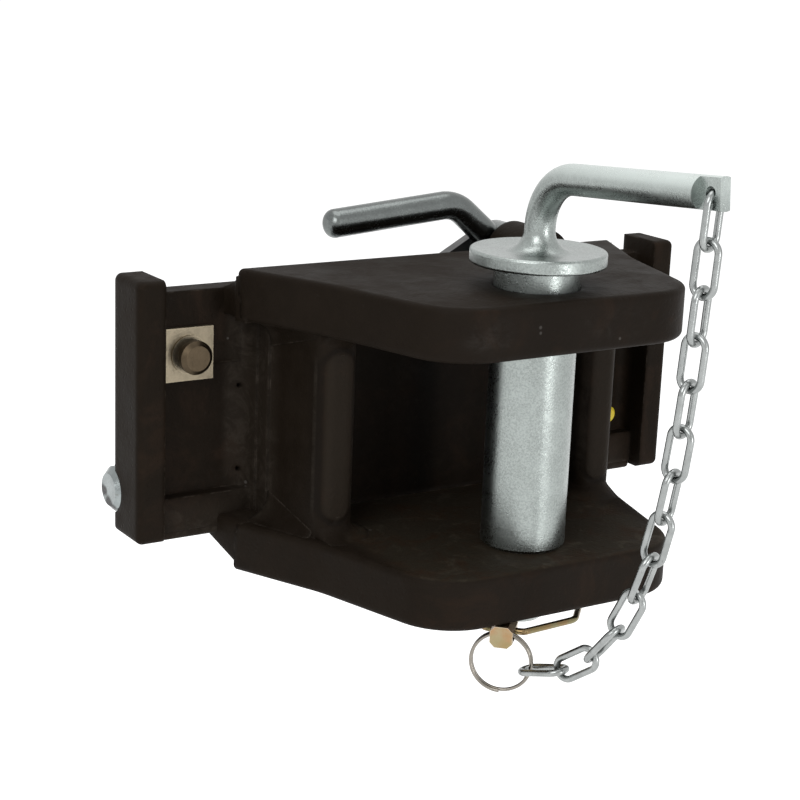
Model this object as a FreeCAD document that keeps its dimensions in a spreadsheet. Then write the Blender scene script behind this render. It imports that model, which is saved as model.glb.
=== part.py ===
import FreeCAD, Part
import math
import os
import Sketcher
from FreeCAD import Placement, Rotation, Vector

# Height-adjustable clevis hitch for the ladder rails of a tractor.
#
# Frame: the origin is the coupling point, where the tow pin's axis crosses the middle of the
# mouth. +X points to the right seen from the implement, +Y towards the tractor, +Z up.
# Lengths are in millimetres, angles in degrees.

doc = FreeCAD.newDocument("tow_hitch")
sheet = doc.addObject("Spreadsheet::Sheet", "sizes")

DRIVING = [
    ("Carriage",),
    ("carriage_width", 300, "over both guide bars"),
    ("guide_thickness", 25, "guide bar, front to back"),
    ("guide_height", 120, "guide bar, end to end"),
    ("guide_top", 66.5, "top of the guide bars above the coupling point"),
    ("guide_face", 13, "width of a guide bar seen from the front"),
    ("guide_round", 3.2, "rounding of the guide bars"),
    ("pin_setback", 84, "coupling point to the front of the guide bars"),
    ("web_thickness", 8.5, "web between guide bar and jaw"),
    ("web_top", 58.5, "top edge of the webs"),
    ("web_bottom", -52, "bottom edge of the webs"),
    ("web_hollow", 11, "hollow between web and cheek"),
    ("web_round", 6, "hollow between web and guide bar"),
    ("field_height", 34.5, "raised upper field of the web"),
    ("field_raise", 3, "how far the upper field stands proud"),
    ("ledge_height", 16, "foot of the web below its pocket"),
    ("ledge_raise", 8, "how far the foot stands proud"),
    ("block_top", 62.5, "top of the block behind the jaw"),
    ("block_bottom", -62, "bottom of the block"),
    ("Jaw",),
    ("mouth_height", 94, "between the two plates"),
    ("plate_thickness", 23.5, "each jaw plate"),
    ("plate_rear_y", 80, "rear edge of the plates"),
    ("plate_rear_half", 104, "half width at the rear edge"),
    ("plate_waist_y", 36, "where the flare begins"),
    ("plate_waist_half", 84.5, "half width at the waist"),
    ("plate_front_half", 65, "half width at the front, before rounding"),
    ("plate_front_reach", 33.5, "coupling point to the front edge"),
    ("plate_corner_round", 30, "front corners seen from above"),
    ("plate_waist_round", 70, "waist seen from above"),
    ("plate_top_round", 2.4, "upper rim of the plates"),
    ("plate_under_round", 3, "lower rim of the plates"),
    ("cheek_front_y", 40, "front of the cheeks"),
    ("cheek_outer_half", 82.5, "outer face of the cheeks at the front"),
    ("cheek_root_half", 89, "outer face of the cheeks at the web"),
    ("cheek_inner_half", 64, "inner face of the cheeks at the front"),
    ("throat_half", 61, "half width of the throat at its back"),
    ("throat_round", 14, "corners at the back of the throat"),
    ("cheek_round", 7, "front edges of the cheeks"),
    ("arch_start", 8, "cast hollows begin behind the cheek noses"),
    ("arch_small", 3, "hollow between cheek and plate at the front"),
    ("arch_large", 14, "the same at the back of the throat"),
    ("Tow pin",),
    ("tow_pin_diameter", 38, "shank, for a 40 mm drawbar eye"),
    ("tow_pin_clearance", 0.45, "radial, in the upper plate"),
    ("tenon_diameter", 25, "spigot in the lower plate"),
    ("tenon_clearance", 0.45, "radial, in the lower plate"),
    ("tenon_below", 11.5, "spigot below the lower plate"),
    ("tenon_chamfer", 2.5, "end of the spigot"),
    ("shank_chamfer", 1.5, "edge of the shoulder"),
    ("collar_gap", 9.8, "collar above the upper plate"),
    ("collar_diameter", 60, "collar"),
    ("collar_rim", 6.4, "height of the collar's rim"),
    ("collar_dish", 1.2, "the collar's top falls inwards this far"),
    ("flare_radius", 9, "hollow between collar and handle"),
    ("handle_diameter", 13.6, "bent handle"),
    ("handle_bend", 24, "bend radius on the centre line"),
    ("handle_height", 118, "bend corner above the coupling point"),
    ("handle_reach", 115, "end of the handle in front of the pin"),
    ("handle_rise", 9.8, "climb of the handle from bend to end"),
    ("handle_flat", 5, "thickness of the flattened end"),
    ("handle_flat_length", 12, "length of the flattened end"),
    ("handle_hole", 5.6, "hole for the chain"),
    ("handle_hole_reach", 109.5, "hole in front of the pin"),
    ("Linch pin",),
    ("linch_diameter", 8, "shaft"),
    ("linch_clearance", 0.3, "radial, in the tow pin"),
    ("linch_angle", 45, "shaft seen from above, from the X axis"),
    ("linch_drop", 5.2, "shaft centre below the lower plate"),
    ("linch_head_reach", 33, "inner face of the head from the pin axis"),
    ("linch_tip_reach", 18, "tip of the shaft from the pin axis"),
    ("linch_head_length", 14, "head along the shaft"),
    ("linch_head_width", 10, "head across"),
    ("linch_head_height", 9.6, "head, top to bottom"),
    ("linch_head_chamfer", 2.2, "long edges of the head"),
    ("bow_wire", 3, "sprung bow"),
    ("bow_pivot", 4, "bow ends from the inner face of the head"),
    ("bow_clearance", 0.15, "radial, bow ends in the head"),
    ("bow_waist_x", -15, "widest point of the bow from the pin axis"),
    ("bow_half_width", 28, "bow, centre line, to each side of the shaft"),
    ("bow_end_half", 27, "the same at the closed end"),
    ("bow_end_x", 20.6, "closed end from the pin axis"),
    ("bow_round", 13, "corners of the closed end"),
    ("ring_diameter", 28, "split ring, outside"),
    ("ring_wire", 1.6, "split ring wire"),
    ("ring_turns", 1.85, "coils of the split ring"),
    ("ring_pitch", 1.75, "coil to coil"),
    ("ring_hole", 5.4, "hole in the head for the split ring"),
    ("ring_hole_from_end", 3.9, "ring hole from the outer end of the head"),
    ("Chain",),
    ("link_wire", 3, "welded chain"),
    ("link_width", 12.6, "link, outside"),
    ("link_pitch", 19, "link to link"),
    ("chain_slack", 1.06, "chain against the straight distance it spans"),
    ("link_play", 0.3, "slack in each joint of the chain"),
    ("ring_hang", 15, "chain's place on the split ring, below level"),
    ("Locking pins",),
    ("lock_diameter", 21, "pin end"),
    ("lock_clearance", 0.06, "radial, in its housing"),
    ("lock_y", 113, "axis behind the coupling point"),
    ("lock_z", -34.5, "axis below the coupling point"),
    ("lock_protrusion", 1.5, "pin end past the guide bar"),
    ("lock_head_length", 39, "thick part of the pin"),
    ("lock_chamfer", 3, "bevel of the pin end"),
    ("lock_rod", 12, "thin part of the pin"),
    ("lock_rod_clearance", 0.2, "radial, in the end wall of the housing"),
    ("lock_rod_inner", 24, "inner end of the thin part from the middle"),
    ("lock_flat", 8, "thickness of the flattened inner end"),
    ("cross_pin_diameter", 6, "cross pin through the flat"),
    ("cross_pin_x", 34, "cross pin from the middle"),
    ("housing_radius", 14, "outside of the pin housing"),
    ("housing_inner_x", 54, "inner end of the housing from the middle"),
    ("housing_wall", 8, "end wall of the housing"),
    ("housing_setback", 7, "housing short of the bar's outer face"),
    ("recess_depth", 5, "recess behind the block for the pins"),
    ("recess_half_height", 16, "recess above and below the pins"),
    ("spring_wire", 2.4, "locking pin spring"),
    ("spring_diameter", 20, "locking pin spring, outside"),
    ("spring_turns", 8, "turns of the locking pin spring"),
    ("stroke", 11.4, "travel of the locking pins"),
    ("Release gear",),
    ("face_gap", 0.5, "between sliding faces"),
    ("plate_stock", 6, "thickness of the sliding plate"),
    ("wing_half", 45, "lower wings of the sliding plate"),
    ("wing_margin", 9, "plate past the ends of the sloping slots"),
    ("stem_half", 13, "stem of the sliding plate"),
    ("head_margin", 6.5, "plate around the crank slot"),
    ("slot_play", 0.15, "radial play of a pin in its slot"),
    ("slot_end", 0.9, "sloping slots past the travel"),
    ("screw_low_z", 0, "lower guide screw"),
    ("screw_high_z", 51, "upper guide screw"),
    ("screw_shoulder", 8, "guide screw shoulder"),
    ("screw_thread", 6, "guide screw thread"),
    ("screw_depth", 14, "guide screw in the block"),
    ("screw_head", 13, "guide screw head"),
    ("screw_head_height", 4, "guide screw head"),
    ("crank_radius", 30, "lever shaft to crank pin"),
    ("crank_low", 20, "crank below level at rest"),
    ("crank_pin_diameter", 8, "crank pin"),
    ("crank_slot_reach", 2.3, "crank slot towards the middle"),
    ("shaft_x", 65, "lever shaft right of the middle"),
    ("shaft_z", 61.5, "lever shaft above the coupling point"),
    ("shaft_diameter", 16, "lever shaft"),
    ("shaft_clearance", 0.05, "radial, in the hub"),
    ("shaft_press", 0.01, "radial, in the lug"),
    ("shaft_depth", 21, "shaft in the lug"),
    ("lug_radius", 16, "lug on the block"),
    ("hub_radius", 14, "hub of the lever"),
    ("hub_gap", 1.6, "hub behind the lug"),
    ("hub_length", 14, "hub of the lever"),
    ("arm_thickness", 5.8, "crank arm"),
    ("arm_radius", 12, "crank arm round the shaft"),
    ("arm_tip_radius", 7.5, "crank arm round the crank pin"),
    ("lever_diameter", 14, "lever rod"),
    ("grip_end_x", -38, "free end of the grip"),
    ("grip_end_z", 80, "free end of the grip"),
    ("lever_corner_x", 35, "bend corner of the lever"),
    ("lever_corner_z", 86.3, "bend corner of the lever"),
    ("lever_bend", 18, "bend radius on the centre line"),
    ("thrust_washer_diameter", 24, "washers on the lever shaft"),
    ("thrust_washer_thickness", 1.3, "washers on the lever shaft"),
    ("circlip_thickness", 1.2, "retaining ring on the lever shaft"),
    ("circlip_width", 2.6, "retaining ring, radially"),
    ("circlip_opening", 6, "gap in the retaining ring"),
    ("Guide bolts",),
    ("bolt_x", 120.5, "guide bolt from the middle"),
    ("bolt_z", 30, "guide bolt above the coupling point"),
    ("bolt_diameter", 10, "guide bolt"),
    ("bolt_clearance", 0.4, "radial, in its holes"),
    ("bolt_head_diameter", 15.5, "round head"),
    ("bolt_neck_diameter", 11, "neck under the round head"),
    ("bolt_neck", 4.5, "neck under the round head"),
    ("bolt_head_height", 4, "round head"),
    ("washer_side", 24.5, "square washer"),
    ("washer_thickness", 2.5, "square washer"),
    ("washer_ring_diameter", 17.6, "raised ring on the square washer"),
    ("washer_ring_height", 1.2, "raised ring on the square washer"),
    ("spacer_diameter", 18, "spacer behind the web"),
    ("strap_thickness", 5, "strap behind the sliding plate"),
    ("strap_height", 26, "strap, top to bottom"),
    ("strap_half", 130, "half length of the strap"),
    ("nut_flats", 17, "across flats"),
    ("nut_height", 8, "nut"),
    ("nut_washer_diameter", 20, "washer under the nut"),
    ("nut_washer_thickness", 2, "washer under the nut"),
    ("Small parts",),
    ("nipple_x", 120, "grease nipple right of the middle"),
    ("nipple_z", -24.5, "grease nipple below the coupling point"),
    ("nipple_thread", 6, "grease nipple shank"),
    ("nipple_depth", 3.5, "grease nipple shank in the web"),
    ("grease_channel", 2.4, "channel from the nipple to the pin housing"),
    ("nipple_flats", 7, "grease nipple hexagon"),
    ("nipple_neck", 3, "hexagon height"),
    ("cap_diameter", 8.6, "dust cap"),
    ("cap_length", 7.5, "dust cap"),
    ("rivet_hole", 2.3, "blind rivet hole"),
    ("rivet_hole_depth", 3.5, "blind rivet hole"),
    ("rivet_hole_x", -93, "rivet holes from the middle"),
    ("rivet_hole_high", 12, "upper rivet hole"),
    ("rivet_hole_low", -28, "lower rivet hole"),
]

DERIVED = [
    ("guide_back_y", "=pin_setback + guide_thickness"),
    ("guide_bottom", "=guide_top - guide_height"),
    ("half_width", "=carriage_width / 2"),
    ("guide_inner_half", "=half_width - guide_face"),
    ("web_front_y", "=guide_back_y - web_thickness"),
    ("mouth_half", "=mouth_height / 2"),
    ("plate_outer", "=mouth_half + plate_thickness"),
    ("shank_radius", "=tow_pin_diameter / 2"),
    ("tenon_radius", "=tenon_diameter / 2"),
    ("tenon_end", "=-plate_outer - tenon_below"),
    ("collar_bottom", "=plate_outer + collar_gap"),
    ("collar_top", "=collar_bottom + collar_rim"),
    ("handle_radius", "=handle_diameter / 2"),
    ("handle_foot", "=collar_top - collar_dish + flare_radius"),
    ("handle_hole_z", "=handle_height + handle_rise * handle_hole_reach / handle_reach"),
    ("linch_z", "=-plate_outer - linch_drop"),
    ("head_end_x", "=-linch_head_reach - linch_head_length"),
    ("bow_pivot_x", "=-linch_head_reach - bow_pivot"),
    ("ring_x", "=head_end_x + ring_hole_from_end"),
    ("ring_mean", "=(ring_diameter - ring_wire) / 2"),
    ("ring_centre_z", "=-ring_mean + (ring_hole - ring_wire) / 2 - 0.9"),
    ("lock_end_x", "=half_width + lock_protrusion"),
    ("lock_shoulder_x", "=lock_end_x - lock_head_length"),
    ("housing_floor_x", "=housing_inner_x + housing_wall"),
    ("lock_flat_end", "=wing_half + stroke + 1.5"),
    ("slide_front_y", "=lock_y + lock_flat / 2 + face_gap"),
    ("slide_back_y", "=slide_front_y + plate_stock"),
    ("strap_front_y", "=slide_back_y + face_gap"),
    ("strap_back_y", "=strap_front_y + strap_thickness"),
    ("hub_front_y", "=guide_back_y + hub_gap"),
    ("hub_back_y", "=hub_front_y + hub_length"),
    ("arm_back_y", "=hub_back_y + arm_thickness"),
    ("lever_y", "=hub_front_y + hub_length / 2"),
    ("arm_taper", "=acos((arm_radius - arm_tip_radius) / crank_radius) / 1deg"),
    ("crank_x", "=shaft_x - crank_radius * cos(crank_low * 1deg)"),
    ("crank_z", "=shaft_z - crank_radius * sin(crank_low * 1deg)"),
    ("field_front_y", "=web_front_y - field_raise"),
    ("washer_front_y", "=field_front_y - washer_thickness - washer_ring_height"),
    ("head_back_y", "=washer_front_y - bolt_neck"),
    ("clip_front_y", "=arm_back_y + thrust_washer_thickness + 0.3"),
    ("bolt_end_y", "=strap_back_y + nut_washer_thickness + nut_height + 3"),
    ("nipple_face_y", "=web_front_y - nipple_neck"),
]


def fill_sheet():
    row = 1
    for entry in DRIVING:
        sheet.set("A%d" % row, entry[0])
        if len(entry) == 3:
            sheet.set("B%d" % row, str(entry[1]))
            sheet.setAlias("B%d" % row, entry[0])
            sheet.set("C%d" % row, entry[2])
        row += 1
    for alias, formula in DERIVED:
        sheet.set("A%d" % row, alias)
        sheet.set("B%d" % row, formula)
        sheet.setAlias("B%d" % row, alias)
        row += 1
    doc.recompute()


ALIASES = sorted([entry[0] for entry in DRIVING if len(entry) == 3] + [d[0] for d in DERIVED],
                 key=len, reverse=True)


def bound(expression):
    """Point every alias in an expression at the sheet."""
    words = []
    word = ""
    for letter in expression + " ":
        if letter.isalnum() or letter == "_":
            word += letter
            continue
        words.append("sizes." + word if word in ALIASES else word)
        words.append(letter)
        word = ""
    return "".join(words).strip()


def value(expression):
    result = sheet.evalExpression(bound(expression))
    return float(getattr(result, "Value", result))


def new_body(name):
    body = doc.addObject("PartDesign::Body", name)
    body.Label = name
    return body


def sketch_on(body, role, offset="0"):
    """Empty sketch on one of the body's origin planes, moved along the plane's normal."""
    sketch = body.newObject("Sketcher::SketchObject", body.Name + "_sketch")
    plane = [f for f in body.Origin.OriginFeatures if f.Role == role][0]
    sketch.AttachmentSupport = [(plane, "")]
    sketch.MapMode = "FlatFace"
    sketch.setExpression("AttachmentOffset.Base.z", bound(offset))
    return sketch


def pin_point(sketch, geometry, position, x, y):
    """Bind one point of the sketch to a pair of expressions."""
    for kind, expression, axis in (("DistanceX", x, -2), ("DistanceY", y, -1)):
        number = value(expression)
        if abs(number) < 1e-9:
            sketch.addConstraint(Sketcher.Constraint("PointOnObject", geometry, position, axis))
            continue
        index = sketch.addConstraint(
            Sketcher.Constraint(kind, -1, 1, geometry, position, number))
        sketch.setExpression("Constraints[%d]" % index, bound(expression))


def outline(sketch, corners):
    """Closed polygon through pairs of expressions."""
    points = [Vector(value(x), value(y), 0) for x, y in corners]
    lines = []
    for i, point in enumerate(points):
        following = points[(i + 1) % len(points)]
        lines.append(sketch.addGeometry(Part.LineSegment(point, following), False))
    for i, line in enumerate(lines):
        following = lines[(i + 1) % len(lines)]
        sketch.addConstraint(Sketcher.Constraint("Coincident", line, 2, following, 1))
    for line, (x, y) in zip(lines, corners):
        pin_point(sketch, line, 1, x, y)
    return sketch


def box_outline(sketch, left, right, low, high):
    return outline(sketch, [(left, low), (right, low), (right, high), (left, high)])


def circle(sketch, x, y, radius):
    ring = sketch.addGeometry(
        Part.Circle(Vector(value(x), value(y), 0), Vector(0, 0, 1), value(radius)), False)
    pin_point(sketch, ring, 3, x, y)
    index = sketch.addConstraint(Sketcher.Constraint("Radius", ring, value(radius)))
    sketch.setExpression("Constraints[%d]" % index, bound(radius))
    return sketch


def slot(sketch, x1, y1, x2, y2, radius):
    """Straight slot with round ends between two bound centres."""
    a = Vector(value(x1), value(y1), 0)
    b = Vector(value(x2), value(y2), 0)
    r = value(radius)
    along = (b - a).normalize()
    side = Vector(-along.y, along.x, 0) * r
    start = math.atan2(side.y, side.x)
    up = Vector(0, 0, 1)
    arc_a = sketch.addGeometry(
        Part.ArcOfCircle(Part.Circle(a, up, r), start, start + math.pi), False)
    arc_b = sketch.addGeometry(
        Part.ArcOfCircle(Part.Circle(b, up, r), start - math.pi, start), False)
    line_1 = sketch.addGeometry(Part.LineSegment(a - side, b - side), False)
    line_2 = sketch.addGeometry(Part.LineSegment(b + side, a + side), False)
    for first, end_1, second, end_2 in ((arc_a, 2, line_1, 1), (line_1, 2, arc_b, 1),
                                        (arc_b, 2, line_2, 1), (line_2, 2, arc_a, 1)):
        sketch.addConstraint(Sketcher.Constraint("Tangent", first, end_1, second, end_2))
    pin_point(sketch, arc_a, 3, x1, y1)
    pin_point(sketch, arc_b, 3, x2, y2)
    sketch.addConstraint(Sketcher.Constraint("Equal", arc_a, arc_b))
    index = sketch.addConstraint(Sketcher.Constraint("Radius", arc_a, r))
    sketch.setExpression("Constraints[%d]" % index, bound(radius))
    return sketch


def bent_path(sketch, corners, bends):
    """Open path of straight runs joined by tangent arcs. The corners and bend radii are bound."""
    points = [Vector(value(x), value(y), 0) for x, y in corners]
    marks = []
    for point, (x, y) in zip(points, corners):
        marks.append(sketch.addGeometry(Part.Point(point), True))
        pin_point(sketch, marks[-1], 1, x, y)
    arcs = []
    starts = [points[0]]
    ends = []
    for before, corner, after, bend in zip(points, points[1:], points[2:], bends):
        into = (corner - before).normalize()
        out = (after - corner).normalize()
        turn = into.getAngle(out)
        reach = value(bend) * math.tan(turn / 2)
        left_turn = into.cross(out).z > 0
        normal = Vector(-into.y, into.x, 0) * (1 if left_turn else -1)
        first = corner - into * reach
        last = corner + out * reach
        centre = first + normal * value(bend)
        angle_1 = math.atan2(first.y - centre.y, first.x - centre.x)
        angle_2 = math.atan2(last.y - centre.y, last.x - centre.x)
        if not left_turn:
            angle_1, angle_2 = angle_2, angle_1
        arcs.append((centre, angle_1, angle_2, left_turn))
        ends.append(first)
        starts.append(last)
    ends.append(points[-1])
    previous = None
    for i, (start, end) in enumerate(zip(starts, ends)):
        line = sketch.addGeometry(Part.LineSegment(start, end), False)
        if previous is None:
            sketch.addConstraint(Sketcher.Constraint("Coincident", line, 1, marks[0], 1))
        else:
            arc, left_turn = previous
            sketch.addConstraint(
                Sketcher.Constraint("Tangent", arc, 2 if left_turn else 1, line, 1))
            sketch.addConstraint(Sketcher.Constraint("PointOnObject", marks[i], 1, line))
        if i == len(arcs):
            sketch.addConstraint(Sketcher.Constraint("Coincident", line, 2, marks[-1], 1))
            break
        sketch.addConstraint(Sketcher.Constraint("PointOnObject", marks[i + 1], 1, line))
        centre, angle_1, angle_2, left_turn = arcs[i]
        arc = sketch.addGeometry(
            Part.ArcOfCircle(Part.Circle(centre, Vector(0, 0, 1), value(bends[i])),
                             angle_1, angle_2), False)
        sketch.addConstraint(
            Sketcher.Constraint("Tangent", line, 2, arc, 1 if left_turn else 2))
        index = sketch.addConstraint(Sketcher.Constraint("Radius", arc, value(bends[i])))
        sketch.setExpression("Constraints[%d]" % index, bound(bends[i]))
        previous = (arc, left_turn)
    return sketch


def pad(body, sketch, length, back=False):
    feature = body.newObject("PartDesign::Pad", body.Name + "_pad")
    feature.Profile = sketch
    feature.setExpression("Length", bound(length))
    feature.Reversed = back
    doc.recompute()
    return feature


def pocket(body, sketch, length, back=False):
    feature = body.newObject("PartDesign::Pocket", body.Name + "_pocket")
    feature.Profile = sketch
    feature.setExpression("Length", bound(length))
    feature.Reversed = back
    doc.recompute()
    return feature


def revolve(body, sketch, axis="V_Axis"):
    feature = body.newObject("PartDesign::Revolution", body.Name + "_revolution")
    feature.Profile = sketch
    feature.ReferenceAxis = (sketch, [axis])
    feature.Angle = 360
    doc.recompute()
    return feature


def pipe(body, profile, path):
    feature = body.newObject("PartDesign::AdditivePipe", body.Name + "_pipe")
    feature.Profile = profile
    feature.Spine = (path, ["Edge%d" % (i + 1) for i in range(len(path.Shape.Edges))])
    feature.Transition = "Transformed"
    doc.recompute()
    return feature


def edges_near(shape, spots, tolerance=0.05):
    """Names of the edges whose middle lies on one of the spots; None leaves a coordinate free."""
    names = []
    for i, edge in enumerate(shape.Edges):
        middle = edge.CenterOfMass
        for spot in spots:
            gaps = [abs(a - b) for a, b in zip(middle, spot) if b is not None]
            if max(gaps) < tolerance:
                names.append("Edge%d" % (i + 1))
                break
    return names


def round_edges(body, edges, radius, kind="Fillet"):
    if not edges:
        raise ValueError("no edges to round on " + body.Name)
    feature = body.newObject("PartDesign::" + kind, body.Name + "_" + kind.lower())
    feature.Base = (body.Tip if body.Tip != feature else feature.BaseFeature, edges)
    feature.setExpression("Radius" if kind == "Fillet" else "Size", bound(radius))
    doc.recompute()
    return feature


def group(name, members):
    compound = doc.addObject("Part::Compound", name)
    compound.Label = name
    compound.Links = members
    doc.recompute()
    return compound


fill_sheet()
NODES = []


def place(body, x="0", y="0", z="0", turn=None):
    """Move a body by expressions; turn is its rotation about the Z axis in degrees."""
    if turn is not None:
        body.Placement = Placement(Vector(), Rotation(Vector(0, 0, 1), value(turn)))
        body.setExpression("Placement.Rotation.Angle", bound(turn))
    for axis, expression in zip("xyz", (x, y, z)):
        body.setExpression("Placement.Base." + axis, bound(expression))
    doc.recompute()
    return body


def round_bar(name, role, x, y, start, end, radius, bevel=None):
    """Plain round bar square to an origin plane, from start to end along the plane's normal."""
    body = new_body(name)
    base = sketch_on(body, role, start)
    circle(base, x, y, radius)
    pad(body, base, "(%s) - (%s)" % (end, start))
    if bevel:
        ends = [edge for edge in range(1, len(body.Shape.Edges) + 1)
                if body.Shape.Edges[edge - 1].isClosed()]
        round_edges(body, ["Edge%d" % edge for edge in ends], bevel, "Chamfer")
    return body


def turned_piece(name, role, profile, axis="V_Axis"):
    body = new_body(name)
    section = sketch_on(body, role)
    outline(section, profile)
    revolve(body, section, axis)
    return body


def round_hole(body, role, x, y, offset, radius, length, back=False):
    hole = sketch_on(body, role, offset)
    circle(hole, x, y, radius)
    return pocket(body, hole, length, back)


# The carriage: one steel casting of guide bars, webs, block, cheeks and jaw plates.

def jaw_plate(body, low, high):
    jaw = sketch_on(body, "XY_Plane", low)
    outline(jaw, [
        ("-plate_rear_half", "plate_rear_y"),
        ("-plate_waist_half", "plate_waist_y"),
        ("-plate_front_half", "-plate_front_reach"),
        ("plate_front_half", "-plate_front_reach"),
        ("plate_waist_half", "plate_waist_y"),
        ("plate_rear_half", "plate_rear_y"),
    ])
    pad(body, jaw, "plate_thickness")
    middle = value("(%s + %s) / 2" % (low, high))
    corners = [(s * value("plate_front_half"), -value("plate_front_reach"), middle)
               for s in (-1, 1)]
    round_edges(body, edges_near(body.Shape, corners), "plate_corner_round")
    waist = [(s * value("plate_waist_half"), value("plate_waist_y"), middle) for s in (-1, 1)]
    round_edges(body, edges_near(body.Shape, waist), "plate_waist_round")
    for level, radius in ((low, "plate_under_round"), (high, "plate_top_round")):
        rim = []
        for i, edge in enumerate(body.Shape.Edges):
            spot = edge.CenterOfMass
            if abs(spot.z - value(level)) < 0.01 and spot.y < value("plate_rear_y") - 1:
                rim.append("Edge%d" % (i + 1))
        round_edges(body, rim, radius)


def guide_bar(body, side):
    bar = sketch_on(body, "XZ_Plane", "-guide_back_y")
    box_outline(bar, side + "half_width", side + "guide_inner_half",
                "guide_bottom", "guide_top")
    pad(body, bar, "guide_thickness")
    x = value(side + "half_width")
    x_middle = value(side + "(half_width - guide_face / 2)")
    front = value("pin_setback")
    y_middle = value("(pin_setback + guide_back_y) / 2")
    z_middle = value("(guide_top + guide_bottom) / 2")
    spots = [(x, front, z_middle)]
    for z in (value("guide_top"), value("guide_bottom")):
        spots.append((x, y_middle, z))
        spots.append((x_middle, front, z))
    round_edges(body, edges_near(body.Shape, spots), "guide_round")


def upright_hollow(body, side, wall, away, radius):
    """Concave rounding, full height, where the web meets an upright wall."""
    def across(distance):
        return "%s(%s + %s1 * (%s))" % (side, wall, away, distance)
    column = sketch_on(body, "XY_Plane", "web_bottom")
    outline(column, [
        (across(radius + " + 0.5"), "web_front_y + 1"),
        (across("-3"), "web_front_y + 1"),
        (across("-3"), "web_front_y - " + radius),
        (across("0"), "web_front_y - " + radius),
        (across(radius + " + 0.5"), "web_front_y - 0.01"),
    ])
    pad(body, column, "web_top - web_bottom")
    hollow = sketch_on(body, "XY_Plane", "web_bottom")
    circle(hollow, across(radius), "web_front_y - " + radius, radius)
    pocket(body, hollow, "web_top - web_bottom", True)


def corner_profile(body, y, x, z, side, up, radius):
    """Section of a cast hollow: an arc between a cheek's face and a plate's face."""
    profile = sketch_on(body, "XZ_Plane", "-(%s)" % y)
    bury = "2"
    far_x = "(%s) + %s(%s)" % (x, side, radius)
    near_x = "(%s) - %s(%s)" % (x, side, bury)
    high_z = "(%s) + %s(%s)" % (z, up, radius)
    deep_z = "(%s) - %s(%s)" % (z, up, bury)
    corners = [(x, high_z), (near_x, high_z), (near_x, deep_z), (far_x, deep_z), (far_x, z)]
    points = [Vector(value(a), value(b), 0) for a, b in corners]
    lines = []
    for a, b in zip(points, points[1:]):
        lines.append(profile.addGeometry(Part.LineSegment(a, b), False))
    for a, b in zip(lines, lines[1:]):
        profile.addConstraint(Sketcher.Constraint("Coincident", a, 2, b, 1))
    for line, (a, b) in zip(lines, corners):
        pin_point(profile, line, 1, a, b)
    pin_point(profile, lines[-1], 2, far_x, z)
    centre = Vector(points[-1].x, points[0].y, 0)
    size = value(radius)
    across = points[0].x > centre.x
    down = points[-1].y > centre.y
    start = {(True, True): 0, (False, True): 90, (False, False): 180, (True, False): 270}
    first = math.radians(start[(across, down)])
    ring = Part.Circle(centre, Vector(0, 0, 1), size)
    bow = profile.addGeometry(Part.ArcOfCircle(ring, first, first + math.pi / 2), False)
    ends = (2, 1) if across == down else (1, 2)
    profile.addConstraint(Sketcher.Constraint("Coincident", lines[-1], 2, bow, ends[0]))
    profile.addConstraint(Sketcher.Constraint("Coincident", lines[0], 1, bow, ends[1]))
    index = profile.addConstraint(Sketcher.Constraint("Radius", bow, size))
    profile.setExpression("Constraints[%d]" % index, bound(radius))
    doc.recompute()
    return profile


def cast_hollow(body, stations, z, side, up):
    """Loft of the hollow's sections from the nose of a cheek to its root."""
    profiles = [corner_profile(body, y, x, z, side, up, radius) for y, x, radius in stations]
    loft = body.newObject("PartDesign::AdditiveLoft", body.Name + "_hollow")
    loft.Profile = profiles[0]
    loft.Sections = profiles[1:]
    loft.Ruled = True
    doc.recompute()
    return loft


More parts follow.
